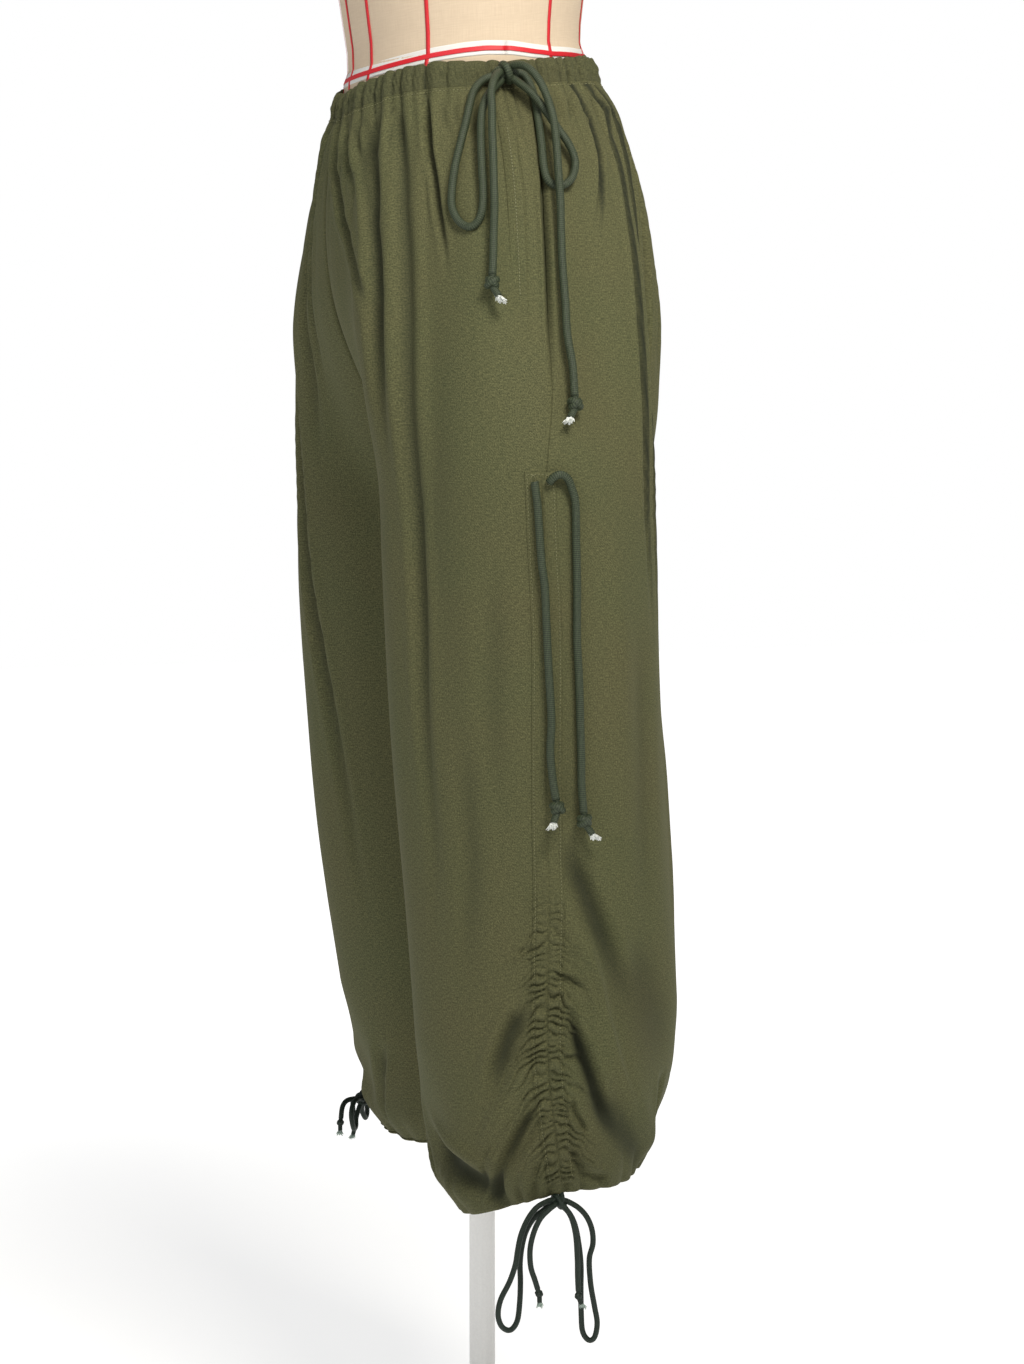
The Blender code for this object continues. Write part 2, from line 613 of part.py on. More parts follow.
def make_round(name, profile, segments, finish):
    """A turned piece on the origin's axis: profile is radius and height pairs from the bottom up."""
    points, faces = [], []
    for radius, z in profile:
        for k in range(segments):
            angle = 2 * math.pi * k / segments
            points.append(Vector((radius * math.cos(angle), radius * math.sin(angle), z)))
    for r in range(len(profile) - 1):
        for c in range(segments):
            d = (c + 1) % segments
            below, above = r * segments, (r + 1) * segments
            faces.append((below + c, below + d, above + d, above + c))
    faces.append(tuple(reversed(range(segments))))
    faces.append(tuple(range((len(profile) - 1) * segments, len(profile) * segments)))
    return new_object(name, points, faces, finish, sharp=35)


def make_stand(metal):
    top = WAIST_HEIGHT + FORM[0][0]
    bevel = 0.003
    make_round("base", [(BASE_RADIUS - bevel, 0.0), (BASE_RADIUS, bevel), (BASE_RADIUS, BASE_HEIGHT - bevel),
                        (BASE_RADIUS - bevel, BASE_HEIGHT)], 32, metal)
    make_round("pole", [(POLE_RADIUS, BASE_HEIGHT + GAP), (POLE_RADIUS, top - GAP)], 20, metal)
    cap = WAIST_HEIGHT + FORM[-1][0] + GAP
    radius, depth = FORM[-1][1], FORM[-1][2]
    points = []
    profile = ((1.03, 0.0), (1.05, 0.3), (1.0, 0.8), (0.9, 1.0))
    n = FORM_COLUMNS_ROUND
    for share, up in profile:
        for k in range(n):
            angle = 2 * math.pi * k / n
            points.append(Vector((FORM_X + radius * share * math.cos(angle),
                                  FORM_Y + FORM[-1][3] + depth * share * math.sin(angle),
                                  cap + CAP_HEIGHT * up)))
    faces = []
    for r in range(len(profile) - 1):
        for c in range(n):
            d = (c + 1) % n
            faces.append((r * n + c, r * n + d, (r + 1) * n + d, (r + 1) * n + c))
    faces.append(tuple(reversed(range(n))))
    faces.append(tuple(range((len(profile) - 1) * n, len(profile) * n)))
    new_object("neck_cap", points, faces, metal, sharp=35)


def main():
    for obj in list(bpy.data.objects):
        bpy.data.objects.remove(obj)
    cloth = material("olive_cloth", (0.085, 0.088, 0.038), 0.85)
    cord = material("cord", (0.062, 0.085, 0.050), 0.7)
    tip = material("tip", (0.75, 0.76, 0.74), 0.4)
    linen = material("linen", (0.68, 0.60, 0.44), 0.9)
    metal = material("stand_paint", (0.62, 0.61, 0.58), 0.45)
    for side, word in ((1, "left"), (-1, "right")):
        make_panel("front", side, f"front_{word}", cloth)
        make_panel("back", side, f"back_{word}", cloth)
        make_hem_casing(side, f"hem_casing_{word}", cloth)
        make_channel(side, f"side_channel_{word}", cloth)
        make_pocket_edge(side, f"pocket_edge_{word}", cloth)
    make_waistband(cloth)
    make_cords(cord, tip)
    make_form(linen)
    make_stand(metal)


main()
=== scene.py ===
"""Parachute pants on a dress form: finish of the cloth, cords, form, tapes and stand.

Metres, +Z up. The wearer faces -Y and the wearer's left is +X. A drop is a distance down from the
waist's top edge. A place on the cloth is given unrolled: its distance from the side line, minus to the
front and plus to the back, and its drop.
"""
import math

import bmesh
import bpy
import numpy as np
from mathutils import Matrix, Vector


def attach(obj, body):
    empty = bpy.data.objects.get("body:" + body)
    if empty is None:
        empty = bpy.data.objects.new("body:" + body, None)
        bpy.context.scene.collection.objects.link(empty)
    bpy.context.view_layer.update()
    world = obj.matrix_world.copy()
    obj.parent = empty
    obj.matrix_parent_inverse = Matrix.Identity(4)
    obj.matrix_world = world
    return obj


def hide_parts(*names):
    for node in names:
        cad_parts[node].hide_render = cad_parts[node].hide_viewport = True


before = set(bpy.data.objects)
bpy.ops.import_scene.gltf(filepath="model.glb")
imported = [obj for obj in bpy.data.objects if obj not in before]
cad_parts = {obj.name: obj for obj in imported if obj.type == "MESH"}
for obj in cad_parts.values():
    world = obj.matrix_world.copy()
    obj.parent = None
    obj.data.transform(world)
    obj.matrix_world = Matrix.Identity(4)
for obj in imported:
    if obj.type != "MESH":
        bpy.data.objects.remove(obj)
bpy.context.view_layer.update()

# ---- sizes ----
SIDES = ((1, "left"), (-1, "right"))
WAIST_HEIGHT = 1.350  # the waist's top edge above the floor
FORM_X = 0.055
FORM_Y = -0.030
WAIST_TILT = 0.123  # the waist's rise from front to back, as a slope, and the drop where it is gone
TILT_FADE = 0.26
WAIST_WAVE_FADE = 0.14
RISE = 0.360
HEM = 1.000
CLOTH = 0.0012
BAND_DEPTH = 0.023
CASING_SEAM = 0.0240
SEAM_WIDTH = 0.0012
MIDDLE_GAP = 0.00015  # what each leg keeps clear of the middle
GATHER_HEIGHT = 0.0066
GATHER_MEAN = 0.62  # the gathers' mean height as a share of it
CASING_RISE = 0.0046  # how far the casing's edge rises where a gather is full
HEM_CASING = 0.019
HEM_GATHERS_FROM = 0.955
HEM_GATHER_PITCH = 0.021
HEM_GATHER_HEIGHT = 0.0042
HEM_WALL = 0.0010
CHANNEL_WALL = 0.0004
POCKET_WALL = 0.0006
# Rows of a panel: shares down it and their drops, closer at the gathers and along the ruching.
PANEL_ROWS = ((0.0, 0.05, 0.17, 0.40, 1.0), (0.0225, 0.045, 0.16, 0.68, HEM))
PANEL_COLUMNS = {1: 134, -1: 92}
# The spans of the waist's casing, round from the middle of the front.
CASING_SPANS = ((1, "front"), (1, "back"), (-1, "back"), (-1, "front"))

# The legs' ovals.
SECTIONS = {
    "drop": (0.0, 0.023, 0.036, 0.070, 0.107, 0.160, 0.220, 0.295, 0.360, 0.450, 0.600, 0.750, 0.880, 1.0),
    "half_width": (0.1310, 0.1370, 0.1470, 0.1660, 0.1840, 0.2020, 0.2180, 0.2400, 0.2560, 0.2570, 0.2560,
                   0.2550, 0.2530, 0.2500),
    "half_depth": (0.1120, 0.1172, 0.1225, 0.1300, 0.1370, 0.1420, 0.1420, 0.1300, 0.1200, 0.1190, 0.1180,
                   0.1180, 0.1170, 0.1150),
    "left_y": (-0.004, -0.003, -0.002, 0.001, 0.004, 0.006, 0.007, 0.008, 0.009, 0.012, 0.018, 0.028,
               0.035, 0.040),
    "right_y": (-0.004, -0.003, -0.002, 0.001, 0.004, 0.006, 0.005, 0.003, -0.003, -0.004, 0.005, 0.016,
                0.033, 0.046),
}
# How far forward of the oval's side the side line lies, in degrees.
SEAM = {"drop": (0.0, 0.2, 0.36, 0.5, 0.7, 0.9, 1.0), "forward": (0.0, 4.0, 10.0, 9.0, 13.0, 16.0, 9.0)}
# How far each side of the leg is drawn in towards the hem.
TUCK = {
    "drop": (0.800, 0.870, 0.920, 0.950, 0.980, 1.000),
    "front": (1.000, 1.000, 0.998, 0.992, 0.955, 0.830),
    "side": (1.000, 0.985, 0.950, 0.915, 0.865, 0.800),
    "back": (1.000, 1.000, 0.990, 0.930, 0.810, 0.680),
    "inner": (1.000, 1.000, 0.990, 0.960, 0.890, 0.780),
}
# How low the hem hangs on each side, and where it starts to differ.
HEM_LEVEL = {"front": 1.030, "side": 0.994, "back": 0.993, "inner": 1.020}
RIGHT_HEM_LIFT = 0.012
HEM_WAVE_FROM = 0.75
# How the waist's top edge waves, from the middle of the front (-90 degrees) round to the back.
WAIST_LEVEL = {"angle": (-90, -68, -50, -30, 0, 45, 90), "rise": (-8.5, -3.0, 3.0, 2.8, -3.0, -2.5, -2.5)}
# Broad folds: panel, share from the inner edge to the side line, drift, width, height, first and last drop.
BROAD_FOLDS = (
    ("front", 0.22, -0.02, 0.10, -0.010, 0.05, 0.92),
    ("front", 0.46, 0.10, 0.12, 0.009, 0.08, 0.98),
    ("front", 0.62, 0.08, 0.08, -0.008, 0.06, 0.60),
    ("front", 0.80, 0.06, 0.07, 0.006, 0.03, 0.34),
    ("front", 0.33, 0.10, 0.07, 0.006, 0.04, 0.45),
    ("back", 0.20, 0.00, 0.09, -0.010, 0.04, 0.70),
    ("back", 0.36, 0.04, 0.07, 0.008, 0.03, 0.80),
    ("back", 0.50, 0.05, 0.06, -0.010, 0.03, 0.62),
    ("back", 0.64, 0.04, 0.08, 0.006, 0.05, 0.40),
    ("back", 0.84, -0.02, 0.07, -0.005, 0.06, 0.46),
    ("front", 0.60, -0.16, 0.12, -0.012, 0.86, 1.06),
    ("back", 0.74, -0.26, 0.12, -0.012, 0.84, 1.06),
)
# Where the gathered casing's valleys are, as shares of a panel from its inner edge to the side line.
VALLEYS = {
    ("front", 1): (0.06, 0.115, 0.16, 0.22, 0.283, 0.361, 0.407, 0.472, 0.515, 0.582, 0.634, 0.735, 0.815,
                   0.907, 0.965),
    ("back", 1): (0.08, 0.15, 0.21, 0.28, 0.35, 0.41, 0.47, 0.54, 0.60, 0.65, 0.69, 0.75, 0.82, 0.865, 0.90),
    ("front", -1): (0.05, 0.12, 0.19, 0.25, 0.32, 0.37, 0.44, 0.50, 0.57, 0.62, 0.69, 0.75, 0.82, 0.88, 0.95),
    ("back", -1): (0.07, 0.13, 0.20, 0.27, 0.33, 0.40, 0.48, 0.53, 0.60, 0.66, 0.74, 0.80, 0.87, 0.94),
}
# How far a valley is filled, from sharp and deep (0) to hardly there (1).
VALLEY_FILL = {
    ("front", 1): (0.3, 0.5, 0.2, 0.6, 0.3, 0.0, 0.45, 0.0, 0.15, 0.6, 0.0, 0.85, 0.7, 0.5, 0.2),
    ("back", 1): (0.3, 0.2, 0.5, 0.1, 0.3, 0.1, 0.0, 0.3, 0.0, 0.5, 0.0, 0.3, 0.6, 0.1, 0.5),
}
# Creases: those that start sharply at the waist, those soft at both ends, and those that end sharply at
# the hem. Each has its depth (minus) or height (plus) in mm, its half width in mm, and its line on the
# unrolled cloth in mm from the side line and below the waist. Below the knee a crease is steeper on the
# side away from the side line, where the cloth above hangs over it.
KNEE = 600
CREASES_FROM = 24
HEM_PULL = 965  # where the hem's cord starts to flatten them
LEFT_CREASES = {
    "waist": (
        (-4.0, 5.0, ((-190, 24), (-213, 75), (-209, 130), (-166, 210), (-150, 250))),
        (-3.0, 4.0, ((-164, 24), (-177, 40), (-183, 75), (-178, 115))),
        (-2.6, 4.0, ((-150, 24), (-161, 45), (-163, 95), (-158, 160))),
        (-3.2, 4.5, ((-137, 24), (-146, 40), (-156, 78), (-158, 110))),
        (-4.6, 6.0, ((-125, 24), (-145, 70), (-154, 140), (-152, 210), (-158, 300), (-160, 380))),
        (-3.4, 6.0, ((-101, 24), (-107, 40), (-111, 75), (-119, 125), (-122, 228), (-134, 370),
                     (-128, 542), (-117, 680), (-118, 800))),
        (-4.6, 2.5, ((-72, 24), (-76, 32), (-83, 78), (-84, 128), (-78, 200))),
        (-2.6, 3.2, ((-56, 24), (-63, 42), (-66, 66))),
        (-2.2, 3.0, ((-46, 24), (-54, 45), (-56, 62))),
        (-2.4, 3.2, ((-31, 24), (-40, 52), (-42, 74))),
        (-1.8, 3.0, ((-18, 24), (-24, 38), (-26, 58))),
        (-3.4, 2.2, ((18, 24), (16, 45), (13, 90), (9, 125), (9, 175), (10, 230), (12, 272), (9, 312))),
        (-2.4, 3.0, ((40, 24), (38, 46), (33, 70))),
        (-2.6, 3.0, ((60, 24), (56, 40), (50, 66))),
        (-3.6, 2.4, ((64, 24), (77, 58), (76, 92), (71, 120), (60, 160))),
        (-4.2, 2.8, ((84, 24), (103, 50), (104, 94), (102, 146), (106, 234), (112, 300), (116, 404),
                     (122, 520))),
        (-5.2, 3.2, ((104, 24), (127, 58), (131, 98), (133, 168), (133, 234), (134, 300), (138, 404),
                     (146, 540))),
        (-4.8, 3.0, ((126, 24), (152, 85), (156, 132), (158, 173), (160, 225), (164, 300), (172, 430))),
        (-4.6, 4.0, ((146, 24), (176, 90), (184, 180), (190, 300))),
        (-4.0, 5.0, ((164, 24), (206, 100), (222, 210), (226, 330))),
        (-3.6, 4.0, ((178, 24), (228, 100), (250, 170))),
    ),
    "open": (
        (-6.4, 9.0, ((-15, 822), (-33, 836), (-44, 855), (-54, 877), (-66, 905))),
        (-3.0, 3.2, ((-8, 915), (-26, 934), (-47, 954))),
        (4.6, 13.0, ((-15, 866), (-40, 895), (-62, 922), (-88, 955))),
        (4.0, 7.0, ((-22, 938), (-40, 962), (-58, 992))),
        (-1.8, 3.0, ((-32, 778), (-22, 772), (-12, 771))),
        (-3.6, 3.6, ((-2, 795), (8, 797), (18, 801), (32, 814))),
        (-5.5, 4.6, ((8, 815), (15, 832), (23, 855), (33, 885), (41, 912), (50, 945))),
        (-6.4, 10.0, ((16, 826), (25, 868), (35, 906), (48, 938), (66, 968))),
        (-4.0, 36.0, ((64, 760), (96, 810), (124, 860), (150, 920))),
        (-6.4, 11.0, ((8, 664), (19, 698), (32, 730), (46, 762), (60, 794), (78, 832))),
        (-2.6, 2.8, ((3, 870), (21, 872), (30, 881))),
        (-2.6, 2.8, ((6, 893), (18, 899), (30, 909))),
        (-3.8, 2.8, ((12, 906), (13, 922), (20, 938), (17, 954))),
        (6.4, 9.0, ((6, 712), (17, 740), (30, 770), (39, 802), (46, 836), (58, 884), (74, 930), (92, 965))),
        (-1.8, 2.2, ((27, 778), (36, 804), (40, 824), (39, 842))),
        (-1.5, 9.0, ((-80, 560), (-76, 700), (-84, 840))),
        (1.8, 14.0, ((60, 380), (66, 520), (62, 660))),
        (-1.6, 12.0, ((96, 470), (100, 620), (92, 800))),
        (-1.4, 10.0, ((-48, 420), (-52, 560), (-50, 700))),
        (-5.0, 9.0, ((190, 560), (196, 700), (184, 840))),
    ),
    "hem": (
        (-6.6, 5.5, ((-10, 904), (-24, 914), (-37, 930), (-56, 952), (-76, 975), (-94, 1000))),
        (-9.0, 12.0, ((-190, 936), (-143, 950), (-116, 958), (-95, 969), (-80, 984), (-74, 1002))),
        (-2.6, 3.0, ((-46, 966), (-58, 1000))),
        (-2.6, 3.0, ((-29, 962), (-43, 1000))),
        (-6.4, 20.0, ((40, 890), (54, 926), (72, 956), (96, 984), (116, 1004))),
        (-5.0, 5.0, ((8, 950), (6, 968), (16, 982), (36, 990))),
        (-5.0, 8.0, ((150, 900), (140, 950), (128, 1000))),
        (-5.0, 8.0, ((230, 910), (214, 960), (200, 1000))),
        (-5.0, 8.0, ((-226, 900), (-214, 950), (-196, 1000))),
        (-4.0, 7.0, ((-280, 915), (-262, 960), (-246, 1000))),
    ),
}
RIGHT_CREASES = {
    "waist": (
        (-4.2, 5.0, ((-188, 24), (-206, 80), (-214, 140), (-222, 215), (-226, 300))),
        (-3.8, 4.5, ((-168, 24), (-184, 70), (-196, 150), (-204, 225), (-208, 300), (-216, 380))),
        (-3.2, 4.0, ((-148, 24), (-160, 60), (-166, 110))),
        (-4.6, 5.0, ((-128, 24), (-144, 70), (-158, 150), (-170, 260), (-184, 380), (-206, 520),
                     (-222, 690), (-228, 830))),
        (-3.0, 4.0, ((-108, 24), (-118, 60), (-120, 96))),
        (-4.2, 5.0, ((-88, 24), (-98, 66), (-104, 130), (-106, 210), (-112, 300))),
        (-3.2, 4.0, ((-66, 24), (-74, 60), (-76, 100))),
        (-3.0, 3.6, ((-46, 24), (-52, 56), (-50, 90), (-46, 150))),
        (-2.6, 3.2, ((-26, 24), (-30, 52), (-30, 80))),
        (-3.2, 2.4, ((12, 24), (11, 60), (9, 110), (9, 180), (10, 250), (8, 310))),
        (-3.0, 3.4, ((36, 24), (44, 60), (46, 104))),
        (-4.4, 3.6, ((60, 24), (72, 60), (78, 120), (76, 190), (70, 260))),
        (-4.6, 3.8, ((86, 24), (104, 70), (112, 140), (114, 220), (120, 320))),
        (-4.2, 4.0, ((108, 24), (134, 80), (146, 150))),
        (-5.2, 4.4, ((130, 24), (158, 90), (168, 180), (172, 290), (180, 420))),
        (-4.4, 4.6, ((152, 24), (186, 90), (204, 180), (212, 300))),
        (-3.8, 4.6, ((172, 24), (220, 100), (244, 190))),
    ),
    "open": (
        (-4.6, 8.0, ((-12, 826), (-30, 842), (-46, 868), (-58, 900))),
        (4.0, 12.0, ((-14, 872), (-44, 902), (-76, 946))),
        (-4.6, 4.6, ((8, 812), (18, 842), (30, 880), (44, 926))),
        (-2.6, 2.8, ((4, 866), (20, 870), (30, 880))),
        (-2.8, 2.8, ((6, 900), (20, 908), (30, 920))),
        (-4.6, 9.0, ((176, 560), (188, 700), (180, 850))),
        (-1.6, 12.0, ((90, 440), (96, 600), (88, 780))),
        (-2.0, 10.0, ((-120, 420), (-128, 600), (-136, 800))),
    ),
    "hem": (
        (-5.6, 5.5, ((-10, 900), (-30, 922), (-54, 952), (-76, 1000))),
        (-2.6, 3.0, ((-30, 960), (-44, 1000))),
        (-8.0, 12.0, ((34, 892), (52, 932), (72, 1000))),
        (-4.0, 3.6, ((10, 944), (10, 970), (22, 1000))),
        (-6.0, 12.0, ((-140, 930), (-118, 962), (-98, 1000))),
        (-5.0, 8.0, ((-224, 900), (-206, 950), (-190, 1000))),
        (-4.0, 8.0, ((146, 900), (134, 952), (124, 1000))),
        (-5.0, 8.0, ((226, 905), (210, 956), (196, 1000))),
    ),
}
CREASES = {side: [(kind, *row) for kind, rows in table.items() for row in rows]
           for side, table in ((1, LEFT_CREASES), (-1, RIGHT_CREASES))}
# Deep folds: the half width of their shade in mm, and its line on the unrolled cloth.
DEEP_FOLDS = (
    (2.0, ((88, 26), (108, 50), (109, 94), (107, 146), (111, 234), (117, 300), (121, 404), (128, 540))),
    (2.4, ((110, 26), (133, 58), (138, 98), (140, 168), (140, 234), (141, 300), (146, 404), (154, 560))),
    (1.6, ((66, 26), (79, 58), (78, 92), (73, 120), (64, 165))),
)
CREASE_DEPTH = {"upper": 1.9, "lower": 1.35}
# The channel's middle, in mm back from the side line.
CHANNEL = {"drop": (0.36, 0.50, 0.70, 0.85, 0.92, 1.0), "middle": (-3.0, -4.0, -4.5, -5.0, -7.0, -11.0)}
CHANNEL_HALF = 0.0125
CHANNEL_ROW = 0.0111  # its stitch rows on both sides of its middle
CHANNEL_TOP = 0.361
CHANNEL_END = 0.990
PUCKERS_FROM = 0.665
PUCKER_PITCH = 0.0074
PUCKER_HEIGHT = 0.0056
EYELETS = ((-9, 368), (3, 368))
# The side seam, and the pocket mouth's edge on it, in mm back from the side line.
SEAM_LINE = {"drop": (0.0, 0.045, 0.125, 0.23, 0.30, 0.36, 0.50),
             "back": (17.0, 16.0, 10.0, 10.0, 11.0, 3.0, -4.0)}
POCKET = {"drop": (0.030, 0.068, 0.100, 0.132, 0.182, 0.222, 0.272, 0.342),
          "edge": (-7.0, -7.0, -9.0, -10.0, -10.0, -9.0, -6.0, 0.0)}
POCKET_WIDTH = 0.013

WAIST_CORD = 0.0070
SIDE_CORD = 0.0070
HEM_CORD = 0.0050
BRAID_STRANDS = 9
BRAID_PITCH = 13.0


def smooth(value):
    value = np.clip(value, 0.0, 1.0)
    return value * value * (3 - 2 * value)


def bell(away, width):
    """1 in the middle, falling to nothing on both sides."""
    return np.exp(-((away / width) ** 2))


def read(table, name, drop):
    """A table's column at some drops, on a smooth curve through its rows."""
    x, y = np.array(table["drop"]), np.array(table[name])
    slope = np.gradient(y, x)
    i = np.clip(np.searchsorted(x, drop) - 1, 0, len(x) - 2)
    h = x[i + 1] - x[i]
    t = np.clip((drop - x[i]) / h, 0.0, 1.0)
    return ((2 * t**3 - 3 * t**2 + 1) * y[i] + (t**3 - 2 * t**2 + t) * h * slope[i]
            + (3 * t**2 - 2 * t**3) * y[i + 1] + (t**3 - t**2) * h * slope[i + 1])


def oval(side, drop):
    """The leg's oval: its middle across and from front to back, and its half width and depth."""
    t = np.clip((drop / RISE - 0.75) / 0.35, 0.0, 1.0)
    eased = 0.5625 + 0.525 * t + 0.2625 * t**2 - 0.35 * t**3
    together = np.where(drop < 0.75 * RISE, (drop / RISE) ** 2, eased)
    half = read(SECTIONS, "half_width", drop)
    a = half / (1 + together)
    y = read(SECTIONS, "left_y" if side > 0 else "right_y", drop)
    return half - a, y, a, read(SECTIONS, "half_depth", drop)


def cloth_xyz(side, drop, angle, out):
    """Points of the cloth's outer face."""
    x, y, a, b = oval(side, drop)
    ca, sa = np.cos(angle), np.sin(angle)
    part = {"side": np.maximum(ca, 0) ** 2, "inner": np.maximum(-ca, 0) ** 2,
            "back": np.maximum(sa, 0) ** 2, "front": np.maximum(-sa, 0) ** 2}
    tuck = sum(part[k] * read(TUCK, k, drop) for k in part)
    nx, ny = ca / a, sa / b
    size = np.hypot(nx, ny)
    px = x + a * tuck * ca + out * nx / size
    py = y + b * tuck * sa + out * ny / size
    level = sum(part[k] * HEM_LEVEL[k] for k in part) - HEM - (RIGHT_HEM_LIFT if side < 0 else 0)
    real = drop + level * smooth((drop - HEM_WAVE_FROM) / (HEM - HEM_WAVE_FROM))
    tilt = WAIST_TILT * py * (1 - smooth(drop / TILT_FADE))
    rise = np.interp(np.degrees(angle), WAIST_LEVEL["angle"], WAIST_LEVEL["rise"]) / 1000
    z = WAIST_HEIGHT - real + tilt + rise * (1 - smooth(drop / WAIST_WAVE_FADE))
    return np.stack([FORM_X + side * np.maximum(px, MIDDLE_GAP), FORM_Y + py, z], axis=-1)


def unroll(side, turn):
    """The direction at each distance from the side line and each drop, and how far the panel reaches."""
    x, _, a, b = oval(side, DROPS)
    start = np.radians(-read(SEAM, "forward", DROPS))
    steps = np.linspace(0.0, 1.0, 400)[:, None] * PAST_MIDDLE
    angle = start + turn * steps
    speed = np.hypot(a * np.sin(angle), b * np.cos(angle))
    arc = np.cumsum(0.5 * (speed[1:] + speed[:-1]) * np.diff(steps, axis=0), axis=0)
    arc = np.vstack([0 * DROPS, arc])
    at = np.stack([np.interp(DISTANCES, arc[:, k], angle[:, k]) for k in range(len(DROPS))], axis=1)
    middle = np.arccos(np.clip((MIDDLE_GAP - x) / a, -1.0, 1.0))
    inner = turn * np.where(x < a - 1e-5, middle, math.pi - MIDDLE_GAP / a)
    reach = np.array([np.interp(turn * inner[k], turn * angle[:, k], arc[:, k]) for k in range(len(DROPS))])
    near = bell(DROPS[:, None] - DROPS, REACH_BLUR)
    return at, reach, near @ reach / near.sum(axis=1)


PAST_MIDDLE = math.pi + 0.4  # how far round a panel is measured, a little past the leg's inner side
REACH_BLUR = 0.035
DROPS = np.linspace(0.0, 1.0, 401)
DISTANCES = np.linspace(0.0, 0.56, 281)
UNROLLED = {(side, turn): unroll(side, turn) for side in (1, -1) for turn in (1, -1)}


def reach_of(side, drop, column=1):
    """How far the front and the back panel reach from the side line; column 2 is evened out."""
    return [np.interp(drop, DROPS, UNROLLED[(side, turn)][column]) for turn in (-1, 1)]


def direction(side, s, drop):
    """The direction round the leg at a place on the unrolled cloth."""
    row = np.clip(np.abs(s) / DISTANCES[1], 0, len(DISTANCES) - 1.001)
    col = np.clip(drop / DROPS[1], 0, len(DROPS) - 1.001)
    r, c = row.astype(int), col.astype(int)
    v, w = row - r, col - c
    found = []
    for turn in (-1, 1):
        at = UNROLLED[(side, turn)][0]
        upper = at[r, c] * (1 - w) + at[r, c + 1] * w
        lower = at[r + 1, c] * (1 - w) + at[r + 1, c + 1] * w
        found.append(upper * (1 - v) + lower * v)
    return np.where(s < 0, *found)


def chance(count, seed):
    """An uneven share from 0 to 1 for each whole number."""
    return np.modf(np.abs(np.sin(count * 12.9898 + seed) * 437.585))[0]


def gathers(panel, side, across):
    """The height of a casing's round tubes where it is drawn up, and how much shade is painted between them.
    """
    v = np.array([0.0, *VALLEYS[(panel, side)], 1.0])
    filled = 0.75 * chance(np.arange(len(v)), side + 2.0 * len(panel)) ** 1.5
    if (panel, side) in VALLEY_FILL:
        filled = np.array([0.3, *VALLEY_FILL[(panel, side)], 0.3])
    i = np.clip(np.searchsorted(v, across) - 1, 0, len(v) - 2)
    wide = v[i + 1] - v[i]
    t = np.clip((across - v[i]) / wide, 0.0, 1.0)
    tall = GATHER_HEIGHT * np.minimum(wide / 0.060, 1.0) * (0.62 + 0.38 * chance(i, side + len(panel)))
    fill = filled[i] * (1 - t) + filled[i + 1] * t
    low = 0.7 * GATHER_HEIGHT * fill
    arch = (4 * t * (1 - t)) ** 0.6
    # the second value is painted shade, strongest in a sharp valley between two tubes
    return low + np.maximum(tall - low, 0.0) * arch, np.clip(1 - arch / GATHER_MEAN, 0.0, 1.0) * (1 - fill)


def broad_relief(panel, across, drop):
    total = np.zeros_like(drop)
    for name, middle, drift, width, tall, top, bottom in BROAD_FOLDS:
        if name == panel:
            along = np.clip((drop - top) / (bottom - top), 0.0, 1.0)
            total += tall * bell(across - middle - drift * along, width) * np.sin(math.pi * along) ** 1.4
    return total * smooth(np.minimum(across, 1 - across) / 0.06)


def from_line(line, x, y):
    """How far places lie from a line, their share along it, and how far beyond it from the side line."""
    pts = np.array(line, float)
    steps = np.diff(pts, axis=0)
    lengths = np.linalg.norm(steps, axis=1)
    run, whole = 0.0, lengths.sum()
    best = np.full(x.shape, 1e9)
    along, beyond = np.zeros_like(x), np.zeros_like(x)
    for p, d, size in zip(pts, steps, lengths):
        t = np.clip(((x - p[0]) * d[0] + (y - p[1]) * d[1]) / size**2, 0.0, 1.0)
        dx, dy = x - p[0] - t * d[0], y - p[1] - t * d[1]
        away = np.hypot(dx, dy)
        closer = away < best
        best[closer] = away[closer]
        along[closer] = ((run + t * size) / whole)[closer]
        beyond[closer] = (dx * np.sign(p[0]) - dy)[closer]
        run += size
    return best, along, beyond


def crease_relief(side, s, drop):
    """Soft troughs and ridges, in metres, from their listed lines on the unrolled cloth."""
    total = np.zeros_like(drop)
    sm, dm = s * 1000, drop * 1000
    for kind, tall, width, line in CREASES[side]:
        low, high = np.min(line, axis=0) - 4 * width, np.max(line, axis=0) + 4 * width
        near = (sm > low[0]) & (sm < high[0]) & (dm > low[1]) & (dm < high[1])
        if not near.any():
            continue
        y = dm[near]
        best, along, beyond = from_line(line, sm[near], y)
        start = 1.0 if kind == "waist" else smooth(along / 0.3)
        end = 1.0 if kind == "hem" else smooth((1 - along) / 0.45)
        lower = line[0][1] > KNEE
        r = best / width / np.where((beyond > 0) & lower, 0.7, 1.15)
        shape = bell(r, 1.0)
        if tall < 0:
            shape = shape - 0.28 * bell(r - 2.0, 0.9)
        depth = CREASE_DEPTH["lower" if lower else "upper"] * (1 - 0.45 * smooth((y - HEM_PULL) / 35))
        depth = depth * (0.3 + 0.7 * smooth((y - CREASES_FROM) / 34))
        total[near] += depth * tall / 1000 * start * end * shape
    return total


def fold_shade(s, drop):
    """The shade in the deep narrow folds behind the hip, from 0 to 1, alike on both legs."""
    total = np.zeros_like(drop)
    for width, line in DEEP_FOLDS:
        best, along, _ = from_line(line, s * 1000, drop * 1000)
        total = np.maximum(total, bell(best, width) * smooth((1 - along) / 0.35))
    return total


